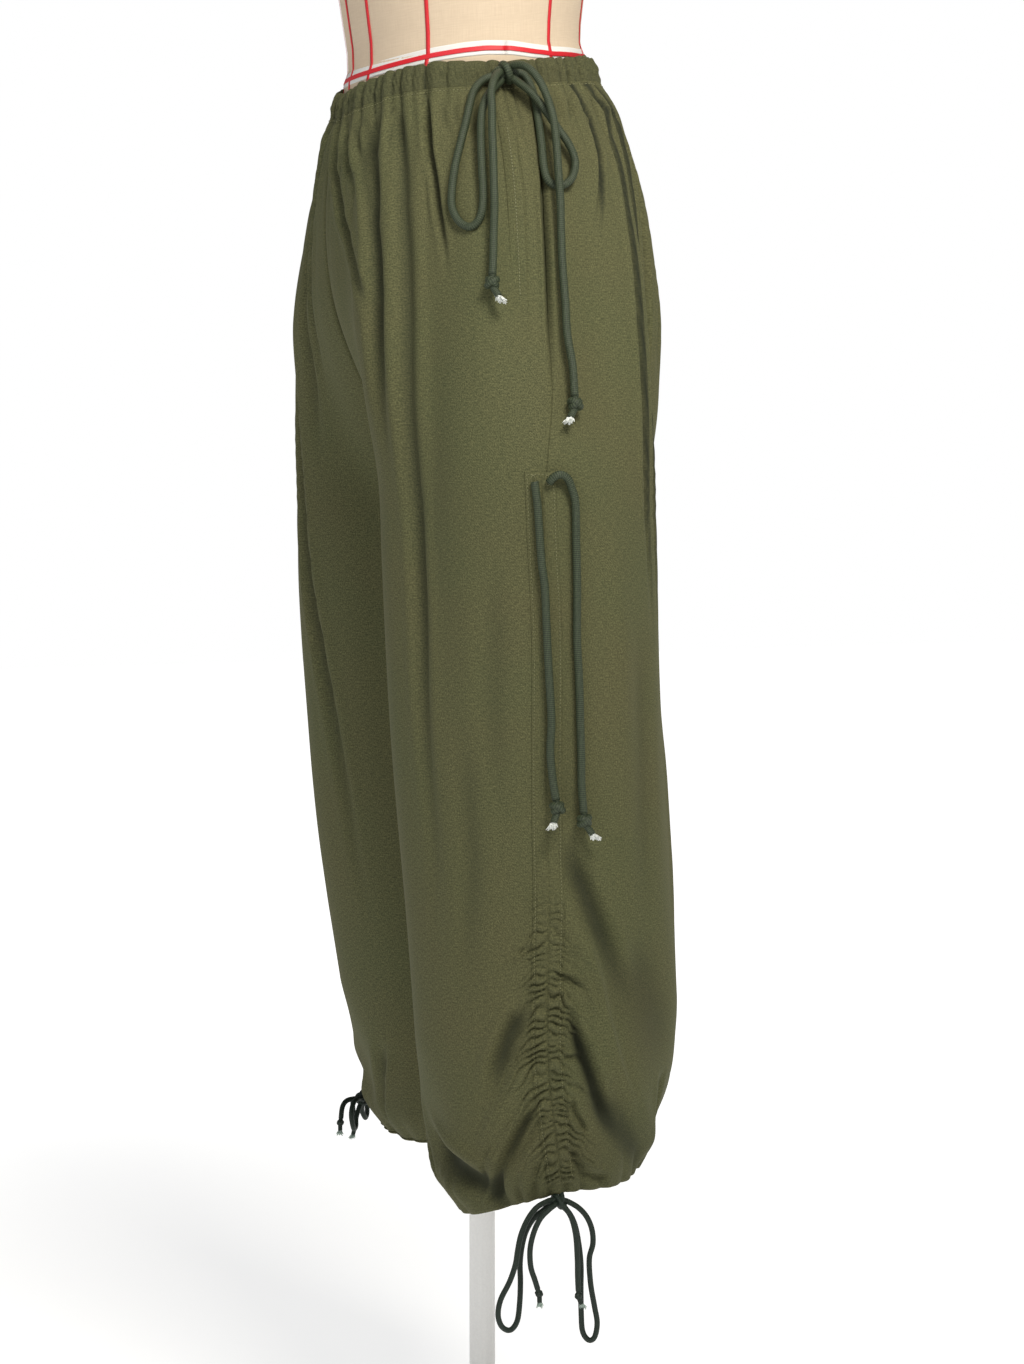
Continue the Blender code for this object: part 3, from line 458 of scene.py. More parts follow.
def pucker_relief(side, s, drop):
    """The ruching on both sides of the channel's middle seam, which runs out into the panels."""
    away = s - read(CHANNEL, "middle", drop) / 1000
    aside = np.abs(away)
    strength = smooth((drop - PUCKERS_FROM) / 0.15) * (1 - 0.6 * smooth((drop - 0.975) / 0.02))
    shift = np.where(away > 0, 0.37, 0.0) + (0.0 if side > 0 else 0.21)
    outside = np.maximum(aside - 0.010, 0.0)
    lean = (0.12 * aside + 0.55 * outside + 11.0 * outside**2) / PUCKER_PITCH
    turns = drop / PUCKER_PITCH - lean + shift + 0.35 * np.sin(drop * 95.0 + 2.0 * shift)
    turns = turns + 0.24 * np.sin(drop * 217.0 + 5.0 * shift) + 0.16 * np.sin(away * 420.0 + drop * 150.0)
    count = np.floor(turns + 0.5)
    tall = 0.32 + 0.68 * chance(count, shift)
    long = 0.004 + 0.030 * chance(count, shift + 2.0) ** 1.8
    ridge = 0.62 * tall - tall * (0.5 - 0.5 * np.cos(2 * math.pi * turns)) ** 3
    stitched = 1 - 0.6 * bell(aside - CHANNEL_ROW, 0.0013)
    inside = 0.62 + 0.38 * smooth((aside - 0.004) / 0.007)
    seam = 1 - 0.85 * bell(away, 0.0012)
    return PUCKER_HEIGHT * strength * ridge * bell(outside, long) * stitched * inside * seam


def hem_relief(side, s, drop):
    """Small gathers where the hem is drawn up on its cord."""
    close = smooth((drop - HEM_GATHERS_FROM) / (HEM - HEM_GATHERS_FROM))
    turns = s / HEM_GATHER_PITCH + 0.5 * np.sin(s * 37.0 + side)
    return HEM_GATHER_HEIGHT * close * (np.abs(np.sin(math.pi * turns)) ** 0.8 - 0.55)


def across_of(side, s, drop):
    """The share across a panel, from its inner edge (0) to the side line (1)."""
    front, back = reach_of(side, drop, 2)
    return np.clip(np.where(s < 0, 1 + s / front, 1 - s / back), 0.0, 1.0)


def relief(side, s, drop):
    """How far the cloth stands out from the plain oval of its leg."""
    across = across_of(side, s, drop)
    total = np.zeros_like(drop)
    mean = GATHER_MEAN * GATHER_HEIGHT
    for panel, here in (("front", s < 0), ("back", s >= 0)):
        wave = (gathers(panel, side, across)[0] - mean) * (1 - 0.62 * smooth((drop - 0.026) / 0.11))
        shape = (mean + wave) * (1 - smooth((drop - 0.03) / 0.24))
        shape = shape - 0.0003 * bell(drop - CASING_SEAM, SEAM_WIDTH)
        total = np.where(here, shape + broad_relief(panel, across, drop), total)
    total += crease_relief(side, s, drop) + pucker_relief(side, s, drop) + hem_relief(side, s, drop)
    edge = np.where(s < 0, *reach_of(side, drop)) - np.abs(s)
    total -= 0.0011 * bell(edge, SEAM_WIDTH) * (drop > CASING_SEAM)
    line = s - read(SEAM_LINE, "back", drop) / 1000
    return total - 0.0006 * bell(line, 0.0010) * (drop < 0.37)


def surface(side, s, drop, out=0.0):
    """Points on the worn cloth, from places on the unrolled cloth."""
    s, drop = np.broadcast_arrays(np.asarray(s, float), np.asarray(drop, float))
    return cloth_xyz(side, drop, direction(side, s, drop), relief(side, s, drop) + out)


# ---- making and finishing ----


def linear(text):
    """An sRGB hex colour as linear red, green, blue and alpha."""
    values = [int(text[i : i + 2], 16) / 255 for i in (1, 3, 5)]
    return (*[v / 12.92 if v <= 0.04045 else ((v + 0.055) / 1.055) ** 2.4 for v in values], 1.0)


def node(tree, kind, settings=None, **inputs):
    """A node with its settings, and each named input set or linked; __ stands for a space."""
    made = tree.nodes.new(kind)
    for key, value in (settings or {}).items():
        setattr(made, key, value)
    for key, value in inputs.items():
        socket = made.inputs[int(key[1:])] if key[1:].isdigit() else made.inputs[key.replace("__", " ")]
        if isinstance(value, bpy.types.NodeSocket):
            tree.links.new(value, socket)
        else:
            socket.default_value = value
    return made


def math_node(tree, operation, first, second=0.0):
    return node(tree, "ShaderNodeMath", {"operation": operation}, _0=first, _1=second).outputs[0]


def mix_colour(tree, share, first, second):
    """A mix of two colours, each a socket or an sRGB hex colour."""
    first, second = (linear(c) if isinstance(c, str) else c for c in (first, second))
    return node(tree, "ShaderNodeMix", {"data_type": "RGBA"}, _0=share, _6=first, _7=second).outputs[2]


def ramp(tree, share, *stops):
    made = node(tree, "ShaderNodeValToRGB", Fac=share)
    for element, (at, colour) in zip(made.color_ramp.elements, stops):
        element.position, element.color = at, linear(colour)
    return made.outputs[0]


def mapped(tree, value, low, high, to_low, to_high, kind="LINEAR"):
    return node(tree, "ShaderNodeMapRange", {"interpolation_type": kind}, Value=value,
                _1=low, _2=high, _3=to_low, _4=to_high).outputs[0]


def noise(tree, place, scale=1.0, detail=2.0, rough=0.5, stretch=None):
    """Noise over a place, which can be stretched along threads."""
    if stretch:
        place = node(tree, "ShaderNodeMapping", Vector=place, Scale=(*stretch, 1.0)).outputs[0]
    return node(tree, "ShaderNodeTexNoise", Vector=place, Scale=scale, Detail=detail,
                Roughness=rough).outputs["Fac"]


def new_material(name, on_map=True):
    """A material, its tree, and its pattern's place: on the piece's own map or in the object."""
    mat = bpy.data.materials.new(name)
    mat.use_nodes = True
    tree = mat.node_tree
    if on_map:
        return mat, tree, node(tree, "ShaderNodeUVMap", {"uv_map": "cloth"}).outputs["UV"]
    return mat, tree, node(tree, "ShaderNodeTexCoord").outputs["Object"]


def finished(mat, colour, rough, bump=None, **others):
    """Sets a material's colour and roughness, its bump's height, strength and distance, and the rest."""
    tree = mat.node_tree
    shader = tree.nodes["Principled BSDF"]
    tree.links.new(colour, shader.inputs["Base Color"])
    if bump:
        made = node(tree, "ShaderNodeBump", Height=bump[0], Strength=bump[1], Distance=bump[2])
        tree.links.new(made.outputs[0], shader.inputs["Normal"])
    for name, value in {"Roughness": rough, **others}.items():
        shader.inputs[name.replace("__", " ")].default_value = value
    return mat


def cotton():
    """Washed cotton twill: matt, a fine diagonal rib, slubs along the threads, and painted shade that darkens
    it in creases.
    """
    mat, tree, place = new_material("washed_cotton_twill")
    painted_shade_share = node(tree, "ShaderNodeAttribute", {"attribute_name": "painted_shade"}).outputs["Fac"]
    slubs = noise(tree, place, stretch=(190.0, 1100.0))
    specks = noise(tree, place, detail=1.0, stretch=(900.0, 620.0))
    twill = node(tree, "ShaderNodeTexWave", {"wave_type": "BANDS", "bands_direction": "DIAGONAL"},
                 Vector=place, Scale=260.0, Distortion=0.6, Detail=1.0)
    tone = ramp(tree, noise(tree, place, 7.0, 3.0, 0.55), (0.36, "#4A4E33"), (0.66, "#524F35"))
    threads = mix_colour(tree, mapped(tree, slubs, 0.25, 0.75, 0.0, 0.7), tone, "#74724C")
    flecked = mix_colour(tree, mapped(tree, specks, 0.3, 0.7, 0.0, 0.66), threads, "#2B2E1A")
    # painted shade: the colour goes towards a dark olive as far as the painted_shade attribute says
    shaded = mix_colour(tree, painted_shade_share, flecked, "#23261A")
    height = math_node(tree, "ADD", math_node(tree, "MULTIPLY", twill.outputs["Fac"], 0.6), slubs)
    return finished(mat, shaded, 0.88, (height, 0.25, 0.0004), Specular__IOR__Level=0.25,
                    Sheen__Weight=0.12, Sheen__Roughness=0.5, Sheen__Tint=linear("#8C8D62"))


def braid(name, groove_shade, strand, haze):
    """A round polyester braid: crossing strands, with painted shade down between them, and a soft gloss along
    the top.
    """
    mat, tree, place = new_material(name)
    split = node(tree, "ShaderNodeSeparateXYZ", Vector=place)
    around = math_node(tree, "MULTIPLY", split.outputs["Y"], BRAID_STRANDS * 2 * math.pi)
    along = math_node(tree, "MULTIPLY", split.outputs["X"], BRAID_PITCH)
    one_way = math_node(tree, "SINE", math_node(tree, "ADD", around, along))
    other_way = math_node(tree, "SINE", math_node(tree, "SUBTRACT", around, along))
    cross = math_node(tree, "MULTIPLY", one_way, other_way)
    wave = math_node(tree, "ADD", math_node(tree, "MULTIPLY", cross, 0.5), 0.5)
    height = math_node(tree, "POWER", wave, 1.9)
    # painted shade: the colour goes nearly black down between the strands
    tint = mix_colour(tree, height, groove_shade, strand)
    fuzz = math_node(tree, "MULTIPLY", noise(tree, place, 6.0, 3.0), 0.7)
    return finished(mat, mix_colour(tree, fuzz, tint, haze), 0.55, (height, 0.6, 0.0006),
                    Specular__IOR__Level=0.4)


def thread():
    """Spun polyester sewing thread, a little paler than the cloth."""
    mat, tree, place = new_material("sewing_thread", False)
    return finished(mat, mix_colour(tree, noise(tree, place, 300.0), "#605F3C", "#85845E"), 0.6)


def frayed_core(name, bright, dull):
    """The pale cotton core that shows at a cut cord's end: matt fibres."""
    mat, tree, place = new_material(name, False)
    tufts = node(tree, "ShaderNodeTexVoronoi", Vector=place, Scale=700.0).outputs["Distance"]
    return finished(mat, mix_colour(tree, tufts, bright, dull), 0.75, (tufts, 0.7, 0.0008))


def linen_cover():
    """Cream linen stretched over the padded form: a plain weave with uneven threads."""
    mat, tree, place = new_material("cream_linen")
    warp, weft = (noise(tree, place, stretch=way) for way in ((900.0, 60.0), (60.0, 900.0)))
    weave = math_node(tree, "ADD", warp, weft)
    tone = ramp(tree, math_node(tree, "MULTIPLY", weave, 0.5), (0.35, "#C8B49B"), (0.65, "#D0BDA4"))
    return finished(mat, tone, 0.9, (weave, 0.25, 0.0005), Specular__IOR__Level=0.3)


def style_tape(name, dark, light):
    """Narrow woven tape with a dull satin face."""
    mat, tree, place = new_material(name)
    ribs = node(tree, "ShaderNodeTexWave", {"bands_direction": "X"}, Vector=place, Scale=300.0)
    return finished(mat, mix_colour(tree, ribs.outputs["Fac"], dark, light), 0.5)


def satin_paint():
    """Pale powder-coated steel: a faint orange peel under a satin gloss."""
    mat, tree, place = new_material("pale_powder_coat", False)
    peel = noise(tree, place, 420.0, 1.0)
    return finished(mat, mix_colour(tree, peel, "#ECEBE8", "#F6F5F2"), 0.4, (peel, 0.12, 0.0004))


def paper(name, near, far):
    """Matt white studio paper, which glows a little near its middle and more further out."""
    mat, tree, place = new_material(name, False)
    reach = node(tree, "ShaderNodeVectorMath", {"operation": "LENGTH"}, _0=place).outputs["Value"]
    glow = mapped(tree, reach, 0.7, 2.6, near, far, "SMOOTHSTEP")
    tree.links.new(glow, tree.nodes["Principled BSDF"].inputs["Emission Strength"])
    return finished(mat, mix_colour(tree, noise(tree, place, 30.0), "#F4F4F3", "#F8F8F7"), 0.95,
                    Emission__Color=linear("#FFFFFF"))


def put(name, mesh, finish, slot=None):
    """Links a mesh as a finished piece, and has it ride with the frame."""
    obj = bpy.data.objects.new(name, mesh)
    mesh.materials.append(finish)
    bpy.context.scene.collection.objects.link(obj)
    if slot:
        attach(obj, "root")
    return obj


def settled(name, bm, finish, slot=None, soft=False):
    """A finished piece from an edit mesh."""
    mesh = bpy.data.meshes.new(name)
    bm.to_mesh(mesh)
    bm.free()
    if soft:
        mesh.shade_smooth()
    return put(name, mesh, finish, slot)


def welded(mesh, capped):
    """Closes a grid that was rolled up: its seam welded, and its ends filled if it is capped."""
    bm = bmesh.new()
    bm.from_mesh(mesh)
    bmesh.ops.remove_doubles(bm, verts=bm.verts, dist=1e-6)
    if capped:
        bmesh.ops.holes_fill(bm, edges=[e for e in bm.edges if e.is_boundary], sides=0)
    bmesh.ops.recalc_face_normals(bm, faces=bm.faces)
    bm.to_mesh(mesh)
    bm.free()


def laid(name, columns, rows, place, finish, slot, closed=False, capped=True, painted_shade=None, wall=0.0,
         stands_for=None):
    """A flat grid laid into shape by place, which turns shares across and down into points and map places.

    wall thickens it inwards, painted_shade gives how much shade is painted into its colour, and stands_for is
    its solid.
    """
    bm = bmesh.new()
    bmesh.ops.create_grid(bm, x_segments=columns, y_segments=rows, size=0.5)
    mesh = bpy.data.meshes.new(name)
    bm.to_mesh(mesh)
    bm.free()
    flat = np.empty(len(mesh.vertices) * 3)
    mesh.vertices.foreach_get("co", flat)
    u, v = flat[0::3] + 0.5, flat[1::3] + 0.5
    points, spots = place(u, v)
    mesh.vertices.foreach_set("co", np.ascontiguousarray(points).ravel())
    corner = np.empty(len(mesh.loops), np.int32)
    mesh.loops.foreach_get("vertex_index", corner)
    chart = mesh.uv_layers.new(name="cloth")
    chart.uv.foreach_set("vector", np.ascontiguousarray(spots[corner]).ravel())
    # painted shade: a per-point share of shade that the cloth's material paints into its colour
    if painted_shade is not None:
        depth = mesh.attributes.new("painted_shade", "FLOAT", "POINT")
        depth.data.foreach_set("value", painted_shade(u, v))
    if closed:
        welded(mesh, capped)
    mesh.shade_smooth()
    mesh.update()
    piece = put(name, mesh, finish, slot)
    if wall:
        shell = piece.modifiers.new("wall", "SOLIDIFY")
        shell.thickness, shell.offset = wall, -1.0
    if stands_for:
        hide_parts(stands_for)
    return piece


# ---- camera, light and stage ----
LENS_REACH = 3000 / 1364  # the lens's length as a share of the picture's height
CAMERA_TURN = 72.0  # round from the front towards the wearer's left
CAMERA_NOD = 5.37
CAMERA_AWAY = 2.8
CAMERA_ASIDE = 0.0406
CAMERA_DOWN = 0.30  # below the waist's top edge
ROOM_LIGHT = 0.22  # what the white room gives the object, and how white it looks itself
ROOM_WHITE = 1.0


def make_camera():
    eye = bpy.data.cameras.new("camera")
    eye.sensor_fit = "VERTICAL"
    eye.sensor_height = 36.0
    eye.lens = eye.sensor_height * LENS_REACH
    obj = bpy.data.objects.new("camera", eye)
    turn = math.radians(CAMERA_TURN)
    obj.location = (FORM_X + CAMERA_AWAY * math.sin(turn) + CAMERA_ASIDE * math.cos(turn),
                    FORM_Y - CAMERA_AWAY * math.cos(turn) + CAMERA_ASIDE * math.sin(turn),
                    WAIST_HEIGHT - CAMERA_DOWN)
    obj.rotation_euler = (math.radians(90 - CAMERA_NOD), 0.0, turn)
    bpy.context.scene.collection.objects.link(obj)
    bpy.context.scene.camera = obj


def add_light(name, place, aim, size, power, colour, spread=180.0):
    data = bpy.data.lights.new(name, "AREA")
    data.shape = "DISK"
    data.size = size
    data.energy = power
    data.spread = math.radians(spread)
    data.color = linear(colour)[:3]
    obj = bpy.data.objects.new(name, data)
    obj.location = place
    obj.rotation_euler = (Vector(aim) - Vector(place)).to_track_quat("-Z", "Y").to_euler()
    bpy.context.scene.collection.objects.link(obj)


def make_stage():
    """White paper underfoot in a white room, and soft lights round the camera."""
    bm = bmesh.new()
    bmesh.ops.create_grid(bm, x_segments=1, y_segments=1, size=9.0)
    settled("floor", bm, paper("floor_paper", 0.58, 0.92))
    world = bpy.data.worlds.new("studio")
    bpy.context.scene.world = world
    world.use_nodes = True
    sky = world.node_tree.nodes["Background"]
    sky.inputs["Color"].default_value = linear("#FFFFFF")
    seen = node(world.node_tree, "ShaderNodeLightPath").outputs["Is Camera Ray"]
    shine = mapped(world.node_tree, seen, 0.0, 1.0, ROOM_LIGHT, ROOM_WHITE)
    world.node_tree.links.new(shine, sky.inputs["Strength"])
    add_light("key", (1.7, 0.1, 2.55), (0.10, 0.0, 1.22), 0.9, 23.0, "#FFFBF2", spread=125.0)
    add_light("fill", (1.9, -2.2, 2.1), (0.05, 0.0, 1.1), 1.2, 12.0, "#F4F8FF")
    add_light("top", (0.2, 0.2, 3.4), (0.05, 0.0, 1.0), 1.6, 7.0, "#FFFFFF")
    bpy.context.scene.view_settings.view_transform = "Standard"


# ---- cords: routes in millimetres, as on the solids ----
WAIST_KNOT = (-10, 16, 144)
WAIST_CORDS = {
    "waist_loop_front": ((-21, 18, 143), (-32, 23, 144.5), (-41, 33, 149), (-47, 47, 156), (-52, 62, 161),
                         (-58, 80, 165), (-64, 100, 169), (-68, 120, 173), (-69, 135, 177), (-65, 147, 184),
                         (-58, 152, 191), (-52, 148, 195), (-48, 138, 196), (-46, 122, 193), (-45, 99, 186),
                         (-43, 76, 177), (-40, 56, 169), (-35, 42, 163), (-26, 31, 156), (-17, 24, 149)),
    "waist_end_front": ((-16, 16, 150), (-22, 18, 158.5), (-28, 25, 166), (-32, 36, 172), (-33, 50, 177),
                        (-35, 68, 184), (-37, 90, 193), (-39, 112, 201), (-40, 134, 206), (-42, 158, 210),
                        (-44, 178, 215), (-46, 194, 219)),
    "waist_loop_back": ((1, 14, 144), (7, 17, 145), (11, 25, 148), (13, 38, 156), (12, 54, 167),
                        (11, 78, 180), (10, 98, 189), (12, 110, 193), (18, 115, 194), (26, 115, 193),
                        (34, 110, 191), (39, 101, 187), (40, 91, 184), (36, 79, 181), (29, 68, 178),
                        (21, 56, 175), (13, 44, 172), (5, 32, 164), (-2, 24, 155)),
    "waist_end_back": ((-6, 9, 152), (0, 10, 160), (6, 15, 167), (12, 25, 173), (17, 40, 179), (20, 60, 187),
                       (20, 84, 195), (19, 108, 203), (19, 132, 208), (18, 162, 213), (17, 189, 220),
                       (17, 216, 227), (16, 244, 235), (18, 270, 243), (18, 297, 249)),
}
SIDE_CORDS = {
    "side_end_front": ((-21, 369, 258), (-19, 389, 260), (-18, 407, 261), (-16, 437, 262), (-13, 460, 262),
                       (-11, 503, 262), (-9, 538, 262), (-7, 572, 262), (-8, 600, 262), (-6, 624, 263),
                       (-4, 641, 266)),
    "side_end_back": ((-9, 370, 260.2), (-5, 365, 263), (1, 363, 264), (7, 367, 264), (11, 376, 263),
                      (14, 388, 263), (15, 419, 262), (16, 460, 262), (16, 503, 262), (18, 539, 262),
                      (19, 573, 262), (20, 603, 262), (20, 630, 263), (21, 653, 266)),
}
HEM_CORDS = {1: {
    "hem_loop_front": ((-10, -2, 1), (-20, 3, 3), (-29, 13, 4), (-35, 26, 4), (-38, 39, 4),
                            (-40, 53, 3), (-45, 68, 2), (-53, 84, 1), (-55, 98, 0), (-51, 109, -1),
                            (-43, 113, -2), (-36, 106, -4), (-33, 90, -6), (-32, 72, -7), (-32, 55, -8),
                            (-30, 39, -8), (-26, 26, -8), (-19, 15, -7), (-10, 8, -6), (-5, 4, -4)),
    "hem_end_front": ((-5, 1, 8), (-12, 4, 11), (-20, 11, 12), (-26, 23, 12), (-29, 38, 11),
                           (-28, 54, 10), (-24, 66, 9), (-21, 75, 8)),
    "hem_loop_back": ((10, 0, 1), (18, 6, 3), (26, 15, 4), (31, 27, 4), (32, 40, 4), (29, 54, 3),
                           (31, 77, 1), (35, 98, 0), (38, 114, -1), (36, 127, -2), (31, 130, -4),
                           (26, 122, -6), (25, 105, -7), (25, 84, -8), (25, 62, -8), (23, 43, -8),
                           (19, 25, -7), (13, 13, -6), (5, 5, -4)),
    "hem_end_back": ((4, 3, 8), (9, 12, 11), (13, 28, 12), (15, 50, 11), (16, 66, 9), (17, 80, 8)),
}, -1: {
    "hem_loop_front": ((-10, -3, 2), (-18, -3, 4), (-26, 1, 5), (-31, 9, 5), (-30, 19, 4),
                             (-24, 25, 4), (-17, 23, 4), (-12, 16, 5), (-7, 9, 5)),
    "hem_end_front": ((-6, -2, 9), (-13, -1, 14), (-20, 4, 17), (-26, 14, 17)),
    "hem_loop_back": ((10, -3, 2), (17, -2, 4), (25, 3, 5), (29, 11, 5), (27, 20, 4), (21, 24, 4),
                            (15, 21, 4), (11, 15, 5), (7, 9, 5)),
    "hem_end_back": ((5, 1, 9), (10, 5, 14), (13, 15, 15), (13, 27, 14)),
}}
START_SHARE = 0.7  # how far out in a bow's knot its cords start
WAIST_KNOT_RADIUS = 0.0085
HEM_KNOT_RADIUS = 0.0070
HEM_BOWS = {1: {"angle": -17.0, "facing": 0.0}, -1: {"angle": -60.0, "facing": -60.0}}
RIGHT_KNOT_DROP = 0.990
END_KNOT = 0.95  # an end knot's middle beyond its cord, in cord thicknesses
CORD_SIDES = 18
FIBRES = 26


def cord_point(side, row):
    back, drop, out = (v / 1000 for v in row)
    right, left = (np.interp(drop, SECTIONS["drop"], SECTIONS[k]) for k in ("right_y", "left_y"))
    shift = right - left if side < 0 else 0.0
    return Vector((FORM_X + side * out, FORM_Y + back + shift, WAIST_HEIGHT - drop))


def hem_ways(side):
    """The directions out of a hem's bow and back along it."""
    facing = math.radians(HEM_BOWS[side]["facing"])
    return (Vector((side * math.cos(facing), math.sin(facing), 0)),
            Vector((-side * math.sin(facing), math.cos(facing), 0)))


def hem_knot(side):
    angle = math.radians(HEM_BOWS[side]["angle"])
    if side > 0:
        spot = cloth_xyz(side, np.array(HEM), angle, -0.0015)
        return Vector(spot) - Vector((0, 0, HEM_KNOT_RADIUS + 0.0006))
    return Vector(cloth_xyz(side, np.array(RIGHT_KNOT_DROP), angle, HEM_KNOT_RADIUS + 0.0045))


def hem_cord_point(side, row):
    back, down, out = (v / 1000 for v in row)
    outward, backward = hem_ways(side)
    return hem_knot(side) + back * backward - Vector((0, 0, down)) + out * outward


def from_knot(centre, radius, points, thick):
    """The route with its first points set straight out from inside a knot."""
    way = (points[0] - centre).normalized()
    start = centre + way * radius
    return [start, start + way * 0.6 * thick, *points[1:]]


def knot_to_knot(centre, radius, points, thick):
    there = from_knot(centre, radius, points, thick)
    return from_knot(centre, radius, there[::-1], thick)[::-1]


def flowing(points, spacing):
    """Evenly spaced points on a smooth curve through a route's own points."""
    pts = [Vector(p) for p in points]
    full = [2 * pts[0] - pts[1], *pts, 2 * pts[-1] - pts[-2]]
    fine = []
    for i in range(1, len(full) - 2):
        a, b, c, d = full[i - 1 : i + 3]
        for k in range(12):
            t = k / 12
            fine.append(0.5 * (2 * b + (c - a) * t + (2 * a - 5 * b + 4 * c - d) * t * t
                               + (3 * b - a - 3 * c + d) * t**3))
    fine.append(pts[-1])
    fine = np.array(fine)
    along = run_of(fine)
    at = np.linspace(0, along[-1], max(4, round(along[-1] / spacing) + 1))
    return at_runs(at, along, fine)


def run_of(points):
    """How far along a line each of its points is."""
    return np.concatenate([[0], np.cumsum(np.linalg.norm(np.diff(points, axis=0), axis=1))])


def at_runs(at, along, values):
    return np.stack([np.interp(at, along, values[:, k]) for k in range(3)], axis=-1)


def frames(route):
    """Two directions square to a route at each of its points, carried along without twist."""
    ways = np.gradient(route, axis=0)
    ways /= np.linalg.norm(ways, axis=1)[:, None]
    first = Vector(ways[0]).orthogonal().normalized()
    sides = []
    for way in map(Vector, ways):
        first = (first - way * first.dot(way)).normalized()
        sides.append(tuple(first))
    return np.array(sides), np.cross(ways, sides)


def tube(name, route, thick, finish, **how):
    """A round cord along a route, with the braid's map places in cord thicknesses."""
    across, up = frames(route)
    along = run_of(route)

    def place(u, v):
        k = np.round(u * (len(route) - 1)).astype(int)
        turn = 2 * math.pi * v
        ring = np.cos(turn)[:, None] * across[k] + np.sin(turn)[:, None] * up[k]
        return route[k] + thick / 2 * ring, np.stack([along[k] / thick, v], axis=1)

    return laid(name, len(route) - 1, CORD_SIDES, place, finish, "cord", closed=True, **how)


def wound(name, routes, thick, finish, stands_for):
    """A knot's turns made one piece: each has its word, points, share of the thickness and spacing."""
    bm = bmesh.new()
    for word, points, size, spacing in routes:
        part = tube(f"{name}_{word}", flowing(points, thick * spacing), thick * size, finish["cord"])
        bm.from_mesh(part.data)
        bpy.data.objects.remove(part)
    knot = settled(name + "_turns", bm, finish["cord"], "cord", soft=True)
    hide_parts(stands_for)
    return knot


def knot_frame(at, way):
    """Two directions square to a hanging cord: sideways, and out from the dress form."""
    out = Vector((at.x - FORM_X, at.y - FORM_Y, 0.0))
    front = (out - way * out.dot(way)).normalized()
    return front.cross(way), front


def fibres(name, at, way, side, front, thick, finish):
    """A frayed core: a ragged clump with loose fibres that stand out of it."""
    bm = bmesh.new()
    bmesh.ops.create_icosphere(bm, subdivisions=4, radius=thick * 0.42)
    for v in bm.verts:
        x, y, z = v.co / thick
        ragged = math.sin(11 * x + 2) * math.sin(13 * y + 1) * math.sin(9 * z)
        v.co *= 1 + 0.30 * (ragged + 0.4 * math.sin(31 * x + 27 * y))
        v.co.z *= 1.15
    turn = Matrix((side, front, way)).transposed()
    bmesh.ops.rotate(bm, matrix=turn, verts=bm.verts)
    bmesh.ops.translate(bm, vec=at + way * thick * 0.30, verts=bm.verts)
    for k in range(FIBRES):
        spin, lean = 2 * math.pi * float(chance(k, 1.0)), 0.25 + 0.75 * float(chance(k, 4.0))
        aside = math.cos(spin) * side + math.sin(spin) * front
        root = at + thick * (0.30 * lean * aside)
        tip = root + thick * ((0.65 + 0.45 * float(chance(k, 7.0))) * way + 0.50 * lean * aside)
        made = bmesh.ops.create_cone(bm, segments=5, radius1=thick * 0.10, radius2=thick * 0.045,
                                     depth=(tip - root).length, cap_ends=True)["verts"]
        bent = Vector((0, 0, 1)).rotation_difference(tip - root)
        bmesh.ops.rotate(bm, matrix=bent.to_matrix(), verts=made)
        bmesh.ops.translate(bm, vec=(root + tip) / 2, verts=made)
    return settled(name, bm, finish, "tip", soft=True)


END_TURNS = ((0.62, 0.64), (-0.62, 0.55))  # an end knot's turns: tilt, and radius in cord thicknesses
END_SPREAD = {"hem": 0.55, "stout": 1.06}  # a hem's end knots are drawn tight


def end_knot(name, at, way, thick, finish, spread):
    """An overhand knot: two crossing turns, and below them a stub that is cut to show its core."""
    side, front = knot_frame(at, way)
    lean = -1.0 if ("back" in name) != ("waist" in name) else 1.0
    routes = []
    for k, (tilt, radius) in enumerate(END_TURNS):
        across = math.cos(tilt) * side + math.sin(tilt) * lean * way
        ring = []
        for step in range(30):
            turn = math.pi / 2 + 2 * math.pi * 1.04 * step / 29
            ring.append(at + thick * radius * spread * (math.cos(turn) * across - math.sin(turn) * front))
        routes.append((f"turn_{k}", ring, 0.86, 0.20))
    stub_way = (way - 0.55 * spread * lean * side + 0.10 * front).normalized()
    stub_end = at + thick * (0.25 * way) + stub_way * thick * (1.35 + 0.35 * (spread > 1))
    through = [at - way * thick * 1.3, at - way * thick * 0.5, at + way * thick * 0.2, stub_end]
    routes.append(("through", through, 0.88, 0.25))
    knot = wound(name + "_knot", routes, thick, finish, name + "_knot")
    tuft = fibres(name + "_core", stub_end, stub_way, side, front, thick, finish["core"])
    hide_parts(name + "_tip")
    return knot, tuft


def place_cord(name, points, thick, finish):
    route = flowing(points, thick * 0.34)
    piece = tube(name + "_braid", route, thick, finish["cord"], stands_for=name)


def tied(name, points, centre, radius, thick, finish):
    """A loop goes from its bow's knot and back to it, and an end goes to a knot of its own."""
    if "loop" in name:
        place_cord(name, knot_to_knot(centre, radius, points, thick), thick, finish)
    else:
        free_end(name, from_knot(centre, radius, points, thick), thick, finish)


def free_end(name, route, thick, finish):
    way = (route[-1] - route[-2]).normalized()
    at = route[-1] + way * END_KNOT * thick
    pieces = end_knot(name, at, way, thick, finish, END_SPREAD["hem" if "hem" in name else "stout"])
    place_cord(name, route, thick, finish)


